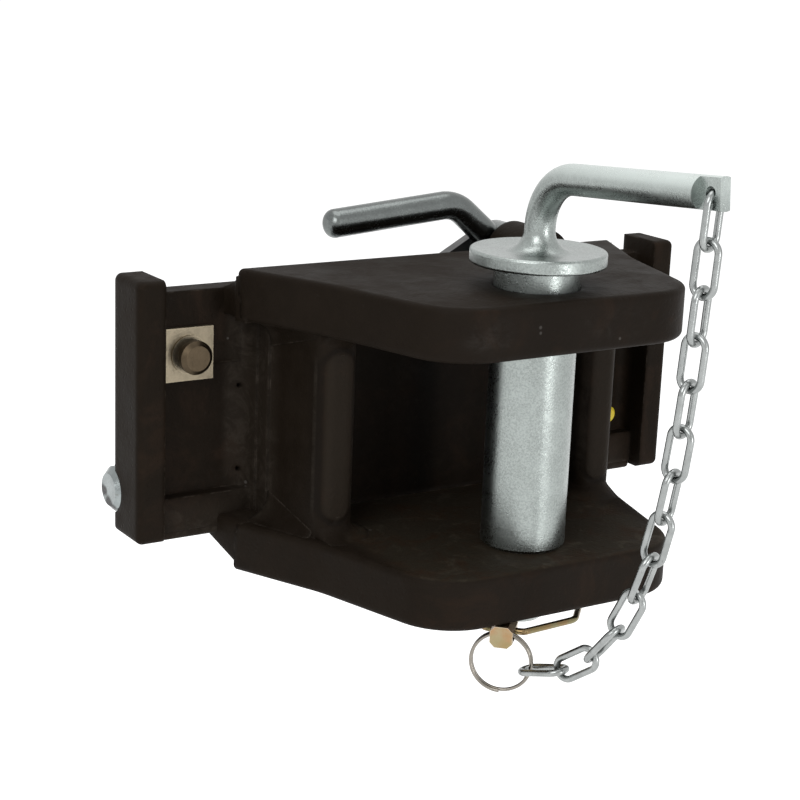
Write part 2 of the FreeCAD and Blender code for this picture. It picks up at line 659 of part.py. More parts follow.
def hitch_body():
    body = new_body("hitch_body")
    front = "XZ_Plane"

    block = sketch_on(body, front, "-guide_back_y")
    box_outline(block, "-cheek_root_half + 1", "cheek_root_half - 1",
                "block_bottom", "block_top")
    pad(body, block, "guide_back_y - plate_rear_y")

    jaw_plate(body, "mouth_half", "plate_outer")
    jaw_plate(body, "-plate_outer", "-mouth_half")

    web = sketch_on(body, front, "-guide_back_y")
    box_outline(web, "-guide_inner_half - 1", "guide_inner_half + 1", "web_bottom", "web_top")
    pad(body, web, "web_thickness")

    for side in ("-", ""):
        guide_bar(body, side)

    for side in ("-", ""):
        upright_hollow(body, side, "cheek_root_half", "", "web_hollow")
        upright_hollow(body, side, "guide_inner_half", "-", "web_round")

    cheeks = sketch_on(body, "XY_Plane", "-mouth_half - 1")
    outline(cheeks, [
        ("-cheek_root_half", "web_front_y + 1"),
        ("-cheek_outer_half", "cheek_front_y"),
        ("-cheek_inner_half", "cheek_front_y"),
        ("-throat_half", "plate_rear_y"),
        ("throat_half", "plate_rear_y"),
        ("cheek_inner_half", "cheek_front_y"),
        ("cheek_outer_half", "cheek_front_y"),
        ("cheek_root_half", "web_front_y + 1"),
    ])
    pad(body, cheeks, "mouth_height + 2")
    x_out = value("cheek_outer_half")
    x_in = value("cheek_inner_half")
    y_front = value("cheek_front_y")
    noses = [(s * x, y_front, 0) for s in (-1, 1) for x in (x_out, x_in)]
    round_edges(body, edges_near(body.Shape, noses), "cheek_round")
    throat = [(s * value("throat_half"), value("plate_rear_y"), 0) for s in (-1, 1)]
    round_edges(body, edges_near(body.Shape, throat), "throat_round")

    rise = "(throat_half - cheek_inner_half) / (plate_rear_y - cheek_front_y)"
    inner = "(cheek_inner_half + (%s) * " + rise + ")"
    nose = "arch_start"
    root = "(plate_rear_y - cheek_front_y)"
    for side, other in (("-", ""), ("", "-")):
        for z, up in (("mouth_half", "-"), ("-mouth_half", "")):
            cast_hollow(body, [
                ("cheek_front_y + " + nose, side + inner % nose, "arch_small"),
                ("cheek_front_y + 2 * " + nose, side + inner % ("2 * " + nose),
                 "(arch_small + arch_large) / 2"),
                ("plate_rear_y", side + inner % root, "arch_large"),
            ], z, other, up)

    for side in ("-", ""):
        field = sketch_on(body, front, "-web_front_y")
        box_outline(field, side + "(guide_inner_half + 1)", side + "(cheek_root_half + 4)",
                    "web_top - field_height", "web_top")
        pad(body, field, "field_raise")
        ledge = sketch_on(body, front, "-web_front_y")
        box_outline(ledge, side + "(guide_inner_half + 1)", side + "(cheek_root_half - 3)",
                    "web_bottom", "web_bottom + ledge_height")
        pad(body, ledge, "ledge_raise")

    lug = sketch_on(body, front, "-guide_back_y")
    circle(lug, "shaft_x", "shaft_z", "lug_radius")
    pad(body, lug, "guide_back_y - plate_rear_y - 2")

    for side in ("-", ""):
        housing = sketch_on(body, "YZ_Plane", side + "housing_inner_x")
        circle(housing, "lock_y", "lock_z", "housing_radius")
        pad(body, housing, "half_width - housing_setback - housing_inner_x", side == "-")

    recess = sketch_on(body, front, "-guide_back_y")
    box_outline(recess, "-housing_inner_x", "housing_inner_x",
                "lock_z - recess_half_height", "lock_z + recess_half_height")
    pocket(body, recess, "recess_depth", True)

    for side in ("-", ""):
        round_hole(body, "YZ_Plane", "lock_y", "lock_z", side + "(half_width + 1)",
                   "lock_diameter / 2 + lock_clearance",
                   "half_width + 1 - housing_floor_x", side == "-")
        round_hole(body, "YZ_Plane", "lock_y", "lock_z", side + "(housing_floor_x + 1)",
                   "lock_rod / 2 + lock_rod_clearance", "housing_wall + 2", side == "-")
        round_hole(body, front, side + "bolt_x", "bolt_z", "-guide_back_y - 1",
                   "bolt_diameter / 2 + bolt_clearance", "web_thickness + field_raise + 4",
                   True)

    round_hole(body, "XY_Plane", "0", "0", "plate_outer + 1",
               "shank_radius + tow_pin_clearance", "plate_thickness + 2")
    round_hole(body, "XY_Plane", "0", "0", "-mouth_half + 1",
               "tenon_radius + tenon_clearance", "plate_thickness + 2")
    round_hole(body, front, "shaft_x", "shaft_z", "-guide_back_y",
               "shaft_diameter / 2 + shaft_press", "shaft_depth + 0.5", True)
    for height in ("screw_low_z", "screw_high_z"):
        round_hole(body, front, "0", height, "-guide_back_y",
                   "screw_thread / 2 + shaft_press", "screw_depth + 0.5", True)
    round_hole(body, front, "nipple_x", "nipple_z", "-web_front_y",
               "nipple_thread / 2 + shaft_press", "nipple_depth + 0.3")
    round_hole(body, front, "nipple_x", "nipple_z", "-web_front_y",
               "grease_channel / 2", "lock_y - web_front_y - lock_rod / 2")
    for height in ("rivet_hole_high", "rivet_hole_low"):
        round_hole(body, front, "rivet_hole_x", height, "-web_front_y + ledge_raise",
                   "rivet_hole / 2", "rivet_hole_depth + ledge_raise")
    return body


# The tow pin with its collar and bent handle, forged in one piece.

def tow_pin():
    body = new_body("tow_pin")
    section = sketch_on(body, "XZ_Plane")
    outline(section, [
        ("0", "tenon_end"),
        ("tenon_radius - tenon_chamfer", "tenon_end"),
        ("tenon_radius", "tenon_end + tenon_chamfer"),
        ("tenon_radius", "-mouth_half"),
        ("shank_radius - shank_chamfer", "-mouth_half"),
        ("shank_radius", "-mouth_half + shank_chamfer"),
        ("shank_radius", "collar_bottom"),
        ("collar_diameter / 2", "collar_bottom"),
        ("collar_diameter / 2", "collar_top"),
        ("handle_radius", "collar_top - collar_dish"),
        ("handle_radius", "handle_foot + 2"),
        ("0", "handle_foot + 2"),
    ])
    revolve(body, section)
    rims = [(0, 0, value("collar_bottom")), (0, 0, value("collar_top"))]
    wide = [name for name in edges_near(body.Shape, rims)
            if body.Shape.getElement(name).Curve.Radius > value("collar_diameter / 2") - 1]
    round_edges(body, wide, "1.2mm")
    foot = [(0, 0, value("collar_top - collar_dish"))]
    round_edges(body, edges_near(body.Shape, foot), "flare_radius")

    path = sketch_on(body, "YZ_Plane")
    bent_path(path, [("0", "handle_foot"), ("0", "handle_height"),
                     ("-handle_reach", "handle_height + handle_rise")], ["handle_bend"])
    ring = sketch_on(body, "XY_Plane", "handle_foot")
    circle(ring, "0", "0", "handle_radius")
    pipe(body, ring, path)
    for side in ("-", ""):
        flat = sketch_on(body, "YZ_Plane", side + "handle_flat / 2")
        box_outline(flat, "-handle_reach - 5", "-handle_reach + handle_flat_length",
                    "handle_height", "handle_height + handle_rise * 2")
        pocket(body, flat, "handle_diameter", side == "")
    round_hole(body, "YZ_Plane", "-handle_hole_reach", "handle_hole_z", "handle_diameter",
               "handle_hole / 2", "handle_diameter * 2")

    hole = sketch_on(body, "XZ_Plane", "tenon_diameter")
    hole.AttachmentOffset = Placement(Vector(), Rotation(Vector(0, 1, 0), -45))
    hole.setExpression("AttachmentOffset.Rotation.Angle", bound("-linch_angle"))
    hole.setExpression("AttachmentOffset.Base.z", bound("0"))
    circle(hole, "0", "linch_z", "linch_diameter / 2 + linch_clearance")
    cut = body.newObject("PartDesign::Pocket", body.Name + "_pocket")
    cut.Profile = hole
    cut.Type = "ThroughAll"
    cut.Midplane = True
    doc.recompute()
    return body


# The linch pin lies along X in its own frame; it is turned into the tow pin's cross hole.

def linch_pin():
    body = turned_piece("linch_pin", "XY_Plane", [
        ("-linch_head_reach - 1", "0"),
        ("-linch_head_reach - 1", "linch_diameter / 2"),
        ("linch_tip_reach - 1.5", "linch_diameter / 2"),
        ("linch_tip_reach", "linch_diameter / 2 - 1.5"),
        ("linch_tip_reach", "0"),
    ], "H_Axis")
    head = sketch_on(body, "YZ_Plane", "head_end_x")
    half_y = "linch_head_width / 2"
    half_z = "linch_head_height / 2"
    cut_y = "(linch_head_width / 2 - linch_head_chamfer)"
    cut_z = "(linch_head_height / 2 - linch_head_chamfer)"
    outline(head, [
        (cut_y, "-" + half_z), (half_y, "-" + cut_z), (half_y, cut_z), (cut_y, half_z),
        ("-" + cut_y, half_z), ("-" + half_y, cut_z), ("-" + half_y, "-" + cut_z),
        ("-" + cut_y, "-" + half_z),
    ])
    pad(body, head, "linch_head_length")
    for x, radius in (("ring_x", "ring_hole / 2"),
                      ("bow_pivot_x", "bow_wire / 2 + bow_clearance")):
        round_hole(body, "XZ_Plane", x, "0", "linch_head_width", radius,
                   "linch_head_width * 2")
    return place(body, z="linch_z", turn="linch_angle")


def linch_pin_bow():
    body = new_body("linch_pin_bow")
    path = sketch_on(body, "XY_Plane")
    bent_path(path, [
        ("bow_pivot_x", "1.5"),
        ("bow_pivot_x", "linch_head_width / 2 + 3.5"),
        ("bow_waist_x", "bow_half_width"),
        ("bow_end_x", "bow_end_half"),
        ("bow_end_x", "-bow_end_half"),
        ("bow_waist_x", "-bow_half_width"),
        ("bow_pivot_x", "-linch_head_width / 2 - 3.5"),
        ("bow_pivot_x", "-1.5"),
    ], ["3", "8", "bow_round", "bow_round", "8", "3"])
    ring = sketch_on(body, "XZ_Plane", "-1.5")
    circle(ring, "bow_pivot_x", "0", "bow_wire / 2")
    pipe(body, ring, path)
    return place(body, z="linch_z", turn="linch_angle")


def coil(name, wire, mean, pitch, turns, x, z="0", left=False):
    """Round wire wound about an axis along X."""
    body = new_body(name)
    section = sketch_on(body, "XZ_Plane")
    section.setExpression("AttachmentOffset.Base.y", bound(z))
    circle(section, x, mean, "%s / 2" % wire)
    feature = body.newObject("PartDesign::AdditiveHelix", name + "_helix")
    feature.Profile = section
    feature.ReferenceAxis = (section, ["H_Axis"])
    feature.Mode = "pitch-turns-angle"
    feature.LeftHanded = left
    feature.setExpression("Pitch", bound(pitch))
    feature.setExpression("Turns", bound(turns))
    doc.recompute()
    return body


def split_ring():
    body = coil("split_ring", "ring_wire", "-ring_mean", "ring_pitch", "ring_turns",
                "ring_x - ring_pitch", "ring_centre_z")
    return place(body, z="linch_z", turn="linch_angle")


# Chain: the links hang in one upright plane from the handle to the split ring.

def chain_curve(top, bottom, belly):
    """Samples of the hanging curve; x is the distance from the ring, y the height."""
    reach = top.x - bottom.x
    fall = top.y - bottom.y
    controls = [
        top,
        Vector(top.x - reach / 12, top.y - fall * 0.42, 0),
        Vector(bottom.x + belly, bottom.y + fall * 0.04, 0),
        bottom,
    ]
    samples = []
    for i in range(401):
        t = i / 400
        weights = ((1 - t) ** 3, 3 * (1 - t) ** 2 * t, 3 * (1 - t) * t * t, t ** 3)
        sample = Vector()
        for control, weight in zip(controls, weights):
            sample += control * weight
        samples.append(sample)
    return samples


def chain_points(top, bottom, pitch, count):
    """Joints of the chain, one pitch apart; the belly grows until the links just reach."""
    low = -top.x
    high = top.x * 6
    for _ in range(40):
        belly = (low + high) / 2
        samples = chain_curve(top, bottom, belly)
        joints = [samples[0]]
        for a, b in zip(samples, samples[1:]):
            while (b - joints[-1]).Length >= pitch:
                share_low, share_high = 0.0, 1.0
                for _ in range(20):
                    share = (share_low + share_high) / 2
                    if (a + (b - a) * share - joints[-1]).Length < pitch:
                        share_low = share
                    else:
                        share_high = share
                joints.append(a + (b - a) * share)
        reached = len(joints) - 1 + (samples[-1] - joints[-1]).Length / pitch
        if reached < count:
            low = belly
        else:
            high = belly
    joints = joints[:count]
    joints.append(samples[-1])
    return joints


def chain():
    hook = Vector(0, -value("handle_hole_reach"), value("handle_hole_z - 1.2"))
    turn = math.radians(value("linch_angle"))
    along = value("ring_x + ring_pitch / 2")
    aside = value("ring_mean * cos(ring_hang * 1deg)")
    drop = value("linch_z + ring_centre_z - ring_mean * sin(ring_hang * 1deg)")
    rim = Vector(along * math.cos(turn) + aside * math.sin(turn),
                 along * math.sin(turn) - aside * math.cos(turn), drop)
    flat = Vector(hook.x - rim.x, hook.y - rim.y, 0)
    heading = math.atan2(flat.y, flat.x)
    towards = Vector(math.cos(heading), math.sin(heading), 0)
    eye = rim - towards * value("link_wire / 2 + 0.4")
    top = Vector((hook - eye).dot(towards), hook.z, 0)
    bottom = Vector(0, eye.z, 0)
    span = math.hypot(top.x, top.y - bottom.y)
    count = math.ceil(value("chain_slack / link_pitch") * span)
    points = chain_points(top, bottom, value("link_pitch"), count)
    links = []
    for i in range(count):
        a, b = points[i], points[i + 1]
        lean = math.atan2(b.y - a.y, b.x - a.x)
        middle = (a + b) * 0.5
        body = new_body("link_%d" % (i + 1))
        path = sketch_on(body, "XY_Plane")
        reach = "(link_pitch - link_width + 2 * link_wire + link_play) / 2"
        slot(path, "-" + reach, "0", reach, "0", "(link_width - link_wire) / 2")
        ring = sketch_on(body, "YZ_Plane")
        circle(ring, "(link_width - link_wire) / 2", "0", "link_wire / 2")
        pipe(body, ring, path)
        swing = Rotation(Vector(0, 0, 1), math.degrees(heading))
        tilt = Rotation(Vector(0, 1, 0), -math.degrees(lean))
        roll = Rotation(Vector(1, 0, 0), 90 if i % 2 else 0)
        spot = eye + towards * middle.x
        spot.z = middle.y
        body.Placement = Placement(spot, swing * tilt * roll)
        links.append(body)
    return group("chain", links)


# The spring-loaded locking pins, each in its housing on the back of the web.

def locking_pin(name, side):
    body = turned_piece(name, "XY_Plane", [
        ("lock_rod_inner", "0"),
        ("lock_rod_inner", "lock_rod / 2 - 1"),
        ("lock_rod_inner + 1", "lock_rod / 2"),
        ("lock_shoulder_x", "lock_rod / 2"),
        ("lock_shoulder_x", "lock_diameter / 2"),
        ("lock_end_x - lock_chamfer", "lock_diameter / 2"),
        ("lock_end_x", "lock_diameter / 2 - lock_chamfer"),
        ("lock_end_x", "0"),
    ], "H_Axis")
    for face in ("-", ""):
        flat = sketch_on(body, "XZ_Plane", face + "lock_flat / 2")
        box_outline(flat, "lock_rod_inner - 5", "lock_flat_end", "-lock_rod", "lock_rod")
        pocket(body, flat, "lock_rod", face == "")
    round_hole(body, "XZ_Plane", "cross_pin_x", "0", "lock_rod",
               "cross_pin_diameter / 2 + shaft_press", "lock_rod * 2")
    return place(body, y="lock_y", z="lock_z", turn=side)


def pin_spring(name, side):
    body = coil(name, "spring_wire", "(spring_diameter - spring_wire) / 2",
                "(lock_shoulder_x - housing_floor_x - spring_wire - 0.6) / spring_turns",
                "spring_turns", "housing_floor_x + spring_wire / 2 + 0.3")
    return place(body, y="lock_y", z="lock_z", turn=side)


def cross_pin(name, side):
    return round_bar(name, "XZ_Plane", side + "cross_pin_x", "lock_z",
                     "-slide_back_y - 0.8", "-lock_y + lock_flat / 2 - 0.2",
                     "cross_pin_diameter / 2", "0.5mm")


# Release gear: lever and crank lift the slotted plate, whose slopes draw both pins inwards.

def release_plate():
    body = new_body("release_plate")
    base = sketch_on(body, "XZ_Plane", "-slide_back_y")
    slope_low = "(lock_z - stroke - wing_margin)"
    slope_high = "(lock_z + wing_margin)"
    head_low = "(crank_z - head_margin - 3)"
    head_high = "(crank_z + head_margin)"
    head_right = "(crank_x + head_margin + 1)"
    outline(base, [
        ("-wing_half", slope_low), ("wing_half", slope_low), ("wing_half", slope_high),
        ("stem_half", slope_high + " + wing_half / 3"), ("stem_half", head_low),
        (head_right, head_low), (head_right, head_high + " - 6"),
        (head_right + " - 6", head_high), ("-stem_half", head_high),
        ("-stem_half", slope_high + " + wing_half / 3"), ("-wing_half", slope_high),
    ])
    pad(body, base, "plate_stock")
    for side in ("-", ""):
        slope = sketch_on(body, "XZ_Plane", "-slide_front_y")
        slot(slope, side + "(cross_pin_x + 0.4)", "lock_z + 0.4",
             side + "(cross_pin_x - stroke - slot_end)", "lock_z - stroke - slot_end",
             "cross_pin_diameter / 2 + slot_play")
        pocket(body, slope, "plate_stock")
    crank_slot = sketch_on(body, "XZ_Plane", "-slide_front_y")
    slot(crank_slot, "crank_x - crank_slot_reach", "crank_z", "crank_x + 0.4",
         "crank_z", "crank_pin_diameter / 2 + slot_play")
    pocket(body, crank_slot, "plate_stock")
    for height in ("screw_low_z", "screw_high_z"):
        guide = sketch_on(body, "XZ_Plane", "-slide_front_y")
        slot(guide, "0", height + " - stroke - 0.8", "0", height + " + 0.4",
             "screw_shoulder / 2 + slot_play")
        pocket(body, guide, "plate_stock")
    return body


def guide_screws():
    screws = []
    for name, height in (("guide_screw_low", "screw_low_z"),
                         ("guide_screw_high", "screw_high_z")):
        body = turned_piece(name, "XY_Plane", [
            ("0", "guide_back_y - screw_depth"),
            ("screw_thread / 2", "guide_back_y - screw_depth"),
            ("screw_thread / 2", "guide_back_y + 0.1"),
            ("screw_shoulder / 2", "guide_back_y + 0.1"),
            ("screw_shoulder / 2", "slide_back_y + face_gap"),
            ("screw_head / 2", "slide_back_y + face_gap"),
            ("screw_head / 2", "slide_back_y + face_gap + screw_head_height"),
            ("0", "slide_back_y + face_gap + screw_head_height"),
        ])
        socket = sketch_on(body, "XZ_Plane", "-slide_back_y - face_gap - screw_head_height")
        hexagon(socket, "0", "0", "5")
        pocket(body, socket, "screw_head_height - 1", True)
        screws.append(place(body, z=height))
    return group("guide_screws", screws)


def hexagon(sketch, x, y, flats):
    corners = []
    for i in range(6):
        angle = 30 + 60 * i
        corners.append(("%s + %s / sqrt(3) * cos(%ddeg)" % (x, flats, angle),
                        "%s + %s / sqrt(3) * sin(%ddeg)" % (y, flats, angle)))
    return outline(sketch, corners)


def release_lever():
    body = new_body("release_lever")
    hub = sketch_on(body, "XZ_Plane", "-hub_back_y")
    circle(hub, "shaft_x", "shaft_z", "hub_radius")
    pad(body, hub, "hub_length")
    path = sketch_on(body, "XZ_Plane", "-lever_y")
    bent_path(path, [("grip_end_x", "grip_end_z"), ("lever_corner_x", "lever_corner_z"),
                     ("shaft_x", "shaft_z")], ["lever_bend"])
    ring = sketch_on(body, "YZ_Plane", "grip_end_x")
    circle(ring, "lever_y", "grip_end_z", "lever_diameter / 2")
    pipe(body, ring, path)
    end = [(value("grip_end_x"), value("lever_y"), value("grip_end_z"))]
    round_edges(body, edges_near(body.Shape, end, 0.3), "5mm")
    round_hole(body, "XZ_Plane", "shaft_x", "shaft_z", "-hub_back_y - 1",
               "shaft_diameter / 2 + shaft_clearance", "hub_length + 2", True)
    return body


def lever_shaft():
    body = turned_piece("lever_shaft", "XY_Plane", [
        ("0", "guide_back_y - shaft_depth"),
        ("shaft_diameter / 2 - 1", "guide_back_y - shaft_depth"),
        ("shaft_diameter / 2", "guide_back_y - shaft_depth + 1"),
        ("shaft_diameter / 2", "clip_front_y"),
        ("shaft_diameter / 2 - 0.8", "clip_front_y"),
        ("shaft_diameter / 2 - 0.8", "clip_front_y + circlip_thickness + 0.1"),
        ("shaft_diameter / 2", "clip_front_y + circlip_thickness + 0.1"),
        ("shaft_diameter / 2", "clip_front_y + circlip_thickness + 1.8"),
        ("shaft_diameter / 2 - 1", "clip_front_y + circlip_thickness + 2.8"),
        ("0", "clip_front_y + circlip_thickness + 2.8"),
    ])
    return place(body, x="shaft_x", z="shaft_z")


def flat_ring(name, x, z, front, thickness, outer, inner):
    body = new_body(name)
    base = sketch_on(body, "XZ_Plane", "-(%s) - %s" % (front, thickness))
    circle(base, x, z, outer)
    pad(body, base, thickness)
    round_hole(body, "XZ_Plane", x, z, "-(%s) - %s - 1" % (front, thickness), inner,
               "%s + 2" % thickness, True)
    return body


def thrust_washers():
    members = []
    for name, front in (("thrust_washer_front", "guide_back_y + 0.15"),
                        ("thrust_washer_back", "arm_back_y + 0.15")):
        members.append(flat_ring(name, "shaft_x", "shaft_z", front,
                                 "thrust_washer_thickness", "thrust_washer_diameter / 2",
                                 "shaft_diameter / 2 + shaft_clearance"))
    return group("shaft_washers", members)


def circlip():
    body = flat_ring("shaft_circlip", "shaft_x", "shaft_z", "clip_front_y + 0.05",
                     "circlip_thickness", "shaft_diameter / 2 - 0.75 + circlip_width",
                     "shaft_diameter / 2 - 0.75")
    gap = sketch_on(body, "XZ_Plane", "-clip_front_y + 1")
    box_outline(gap, "shaft_x - circlip_opening / 2", "shaft_x + circlip_opening / 2",
                "shaft_z", "shaft_z + shaft_diameter")
    pocket(body, gap, "circlip_thickness + 4")
    return body


def crank_arm():
    body = new_body("crank_arm")
    base = sketch_on(body, "XZ_Plane", "-arm_back_y")
    circle(base, "shaft_x", "shaft_z", "arm_radius")
    pad(body, base, "arm_thickness - 0.02")
    tip = sketch_on(body, "XZ_Plane", "-arm_back_y")
    circle(tip, "crank_x", "crank_z", "arm_tip_radius")
    pad(body, tip, "arm_thickness - 0.02")
    high = "((180 + crank_low - arm_taper) * 1deg)"
    low = "((180 + crank_low + arm_taper) * 1deg)"
    flanks = sketch_on(body, "XZ_Plane", "-arm_back_y")
    outline(flanks, [
        ("shaft_x + arm_radius * cos" + high, "shaft_z + arm_radius * sin" + high),
        ("crank_x + arm_tip_radius * cos" + high, "crank_z + arm_tip_radius * sin" + high),
        ("crank_x + arm_tip_radius * cos" + low, "crank_z + arm_tip_radius * sin" + low),
        ("shaft_x + arm_radius * cos" + low, "shaft_z + arm_radius * sin" + low),
    ])
    pad(body, flanks, "arm_thickness - 0.02")
    round_hole(body, "XZ_Plane", "shaft_x", "shaft_z", "-arm_back_y - 1",
               "shaft_diameter / 2 + shaft_clearance", "arm_thickness + 2", True)
    round_hole(body, "XZ_Plane", "crank_x", "crank_z", "-arm_back_y - 1",
               "crank_pin_diameter / 2 + shaft_press", "arm_thickness + 2", True)
    return body


# Guide bolts: they clamp square washers, spacers and the strap that keeps the plate in place.

def guide_bolts():
    bolts = []
    for name, x in (("guide_bolt_left", "-bolt_x"), ("guide_bolt_right", "bolt_x")):
        body = turned_piece(name, "XY_Plane", [
            ("0", "head_back_y - bolt_head_height"),
            ("bolt_head_diameter / 2 - 2", "head_back_y - bolt_head_height"),
            ("bolt_head_diameter / 2", "head_back_y - bolt_head_height + 1.6"),
            ("bolt_head_diameter / 2", "head_back_y"),
            ("bolt_neck_diameter / 2", "head_back_y"),
            ("bolt_neck_diameter / 2", "washer_front_y"),
            ("bolt_diameter / 2", "washer_front_y"),
            ("bolt_diameter / 2", "bolt_end_y - 1"),
            ("bolt_diameter / 2 - 1", "bolt_end_y"),
            ("0", "bolt_end_y"),
        ])
        bolts.append(place(body, x=x, z="bolt_z"))
    return group("guide_bolts", bolts)


def square_washers():
    members = []
    for name, x in (("square_washer_left", "-bolt_x"), ("square_washer_right", "bolt_x")):
        body = new_body(name)
        base = sketch_on(body, "XZ_Plane", "-field_front_y")
        box_outline(base, x + " - washer_side / 2", x + " + washer_side / 2",
                    "bolt_z - washer_side / 2", "bolt_z + washer_side / 2")
        pad(body, base, "washer_thickness")
        ring = sketch_on(body, "XZ_Plane", "-field_front_y + washer_thickness")
        circle(ring, x, "bolt_z", "washer_ring_diameter / 2")
        pad(body, ring, "washer_ring_height")
        round_hole(body, "XZ_Plane", x, "bolt_z", "-field_front_y - 1",
                   "bolt_diameter / 2 + bolt_clearance", "washer_thickness + 4", True)
        members.append(body)
    return group("square_washers", members)


def strap_spacers():
    members = []
    for name, x in (("spacer_left", "-bolt_x"), ("spacer_right", "bolt_x")):
        members.append(flat_ring(name, x, "bolt_z", "guide_back_y",
                                 "(strap_front_y - guide_back_y)", "spacer_diameter / 2",
                                 "bolt_diameter / 2 + bolt_clearance"))
    return group("strap_spacers", members)


def keeper_strap():
    body = new_body("keeper_strap")
    base = sketch_on(body, "XZ_Plane", "-strap_back_y")
    box_outline(base, "-strap_half", "strap_half", "bolt_z - strap_height / 2",
                "bolt_z + strap_height / 2")
    pad(body, base, "strap_thickness")
    middle = value("(strap_front_y + strap_back_y) / 2")
    corners = [(s * value("strap_half"), middle, value("bolt_z") + t * value("strap_height / 2"))
               for s in (-1, 1) for t in (-1, 1)]
    round_edges(body, edges_near(body.Shape, corners), "6mm")
    for x in ("-bolt_x", "bolt_x"):
        round_hole(body, "XZ_Plane", x, "bolt_z", "-strap_back_y - 1",
                   "bolt_diameter / 2 + bolt_clearance", "strap_thickness + 2", True)
    return body


def nut_washers():
    members = []
    for name, x in (("nut_washer_left", "-bolt_x"), ("nut_washer_right", "bolt_x")):
        members.append(flat_ring(name, x, "bolt_z", "strap_back_y", "nut_washer_thickness",
                                 "nut_washer_diameter / 2",
                                 "bolt_diameter / 2 + bolt_clearance"))
    return group("nut_washers", members)


def guide_nuts():
    members = []
    for name, x in (("nut_left", "-bolt_x"), ("nut_right", "bolt_x")):
        body = new_body(name)
        base = sketch_on(body, "XZ_Plane", "-strap_back_y - nut_washer_thickness - nut_height")
        hexagon(base, x, "bolt_z", "nut_flats")
        pad(body, base, "nut_height")
        round_hole(body, "XZ_Plane", x, "bolt_z",
                   "-strap_back_y - nut_washer_thickness - nut_height - 1",
                   "bolt_diameter / 2 + shaft_press", "nut_height + 2", True)
        members.append(body)
    return group("guide_nuts", members)


# Grease point on the right web.

def grease_nipple():
    body = turned_piece("grease_nipple", "XY_Plane", [
        ("0", "nipple_face_y - 6"),
        ("1.6", "nipple_face_y - 6"),
        ("2.6", "nipple_face_y - 4.6"),
        ("1.9", "nipple_face_y - 3.2"),
        ("2.6", "nipple_face_y - 1.5"),
        ("2.6", "nipple_face_y"),
        ("2.8", "nipple_face_y"),
        ("2.8", "web_front_y"),
        ("nipple_thread / 2", "web_front_y"),
        ("nipple_thread / 2", "web_front_y + nipple_depth"),
        ("0", "web_front_y + nipple_depth"),
    ])
    base = sketch_on(body, "XZ_Plane", "-web_front_y")
    hexagon(base, "0", "0", "nipple_flats")
    pad(body, base, "nipple_neck")
    return place(body, x="nipple_x", z="nipple_z")


def nipple_cap():
    body = turned_piece("grease_nipple_cap", "XY_Plane", [
        ("0", "nipple_face_y - cap_length"),
        ("cap_diameter / 2 - 1.2", "nipple_face_y - cap_length"),
        ("cap_diameter / 2", "nipple_face_y - cap_length + 1.2"),
        ("cap_diameter / 2", "nipple_face_y - 0.3"),
        ("2.9", "nipple_face_y - 0.3"),
        ("2.9", "nipple_face_y - 6.2"),
        ("0", "nipple_face_y - 6.2"),
    ])
    return place(body, x="nipple_x", z="nipple_z")


NODES.append(hitch_body())
NODES.append(tow_pin())
NODES.append(linch_pin())
NODES.append(linch_pin_bow())
NODES.append(split_ring())
NODES.append(chain())
for hand, side in (("right", "0"), ("left", "180")):
    NODES.append(locking_pin(hand + "_locking_pin", side))
    NODES.append(pin_spring(hand + "_pin_spring", side))
NODES.append(cross_pin("right_cross_pin", ""))
NODES.append(cross_pin("left_cross_pin", "-"))
NODES.append(release_plate())
NODES.append(guide_screws())
NODES.append(release_lever())
NODES.append(lever_shaft())
NODES.append(thrust_washers())
NODES.append(circlip())
NODES.append(crank_arm())
NODES.append(round_bar("crank_pin", "XZ_Plane", "crank_x", "crank_z", "-arm_back_y",
                       "-slide_front_y + 0.4", "crank_pin_diameter / 2", "0.5mm"))
NODES.append(guide_bolts())
NODES.append(square_washers())
NODES.append(strap_spacers())
NODES.append(keeper_strap())
NODES.append(nut_washers())
NODES.append(guide_nuts())
NODES.append(grease_nipple())
NODES.append(nipple_cap())

doc.recompute()
os.makedirs("parts", exist_ok=True)
for feature in doc.Objects:
    troubles = [state for state in feature.State if state in ("Invalid", "Error")]
    if troubles:
        raise ValueError("feature in error: %s (%s)" % (feature.Name, feature.Label))
for node in NODES:
    if node.Shape.isNull() or not node.Shape.isValid():
        raise ValueError("bad shape: " + node.Label)
    node.Shape.exportStep("parts/%s.step" % node.Label)
    box = node.Shape.BoundBox
    print("%-20s %2d  x %7.1f..%7.1f  y %7.1f..%7.1f  z %7.1f..%7.1f" % (
        node.Label, len(node.Shape.Solids), box.XMin, box.XMax, box.YMin, box.YMax,
        box.ZMin, box.ZMax))
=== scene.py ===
"""Looks of a height-adjustable clevis tow hitch, dressed over its construction model."""

import math

import bpy
from mathutils import Matrix, Vector


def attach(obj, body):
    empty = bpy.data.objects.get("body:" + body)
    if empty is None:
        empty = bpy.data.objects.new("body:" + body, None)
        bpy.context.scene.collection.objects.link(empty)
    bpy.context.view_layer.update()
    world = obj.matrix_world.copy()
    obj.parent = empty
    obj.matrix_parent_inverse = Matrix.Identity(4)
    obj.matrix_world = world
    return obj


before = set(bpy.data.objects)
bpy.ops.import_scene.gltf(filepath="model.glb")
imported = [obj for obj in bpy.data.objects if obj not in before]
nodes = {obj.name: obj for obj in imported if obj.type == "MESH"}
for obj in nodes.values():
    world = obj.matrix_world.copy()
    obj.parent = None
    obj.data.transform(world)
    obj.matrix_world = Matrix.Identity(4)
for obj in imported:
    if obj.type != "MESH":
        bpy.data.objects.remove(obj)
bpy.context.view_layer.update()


# Shader maths

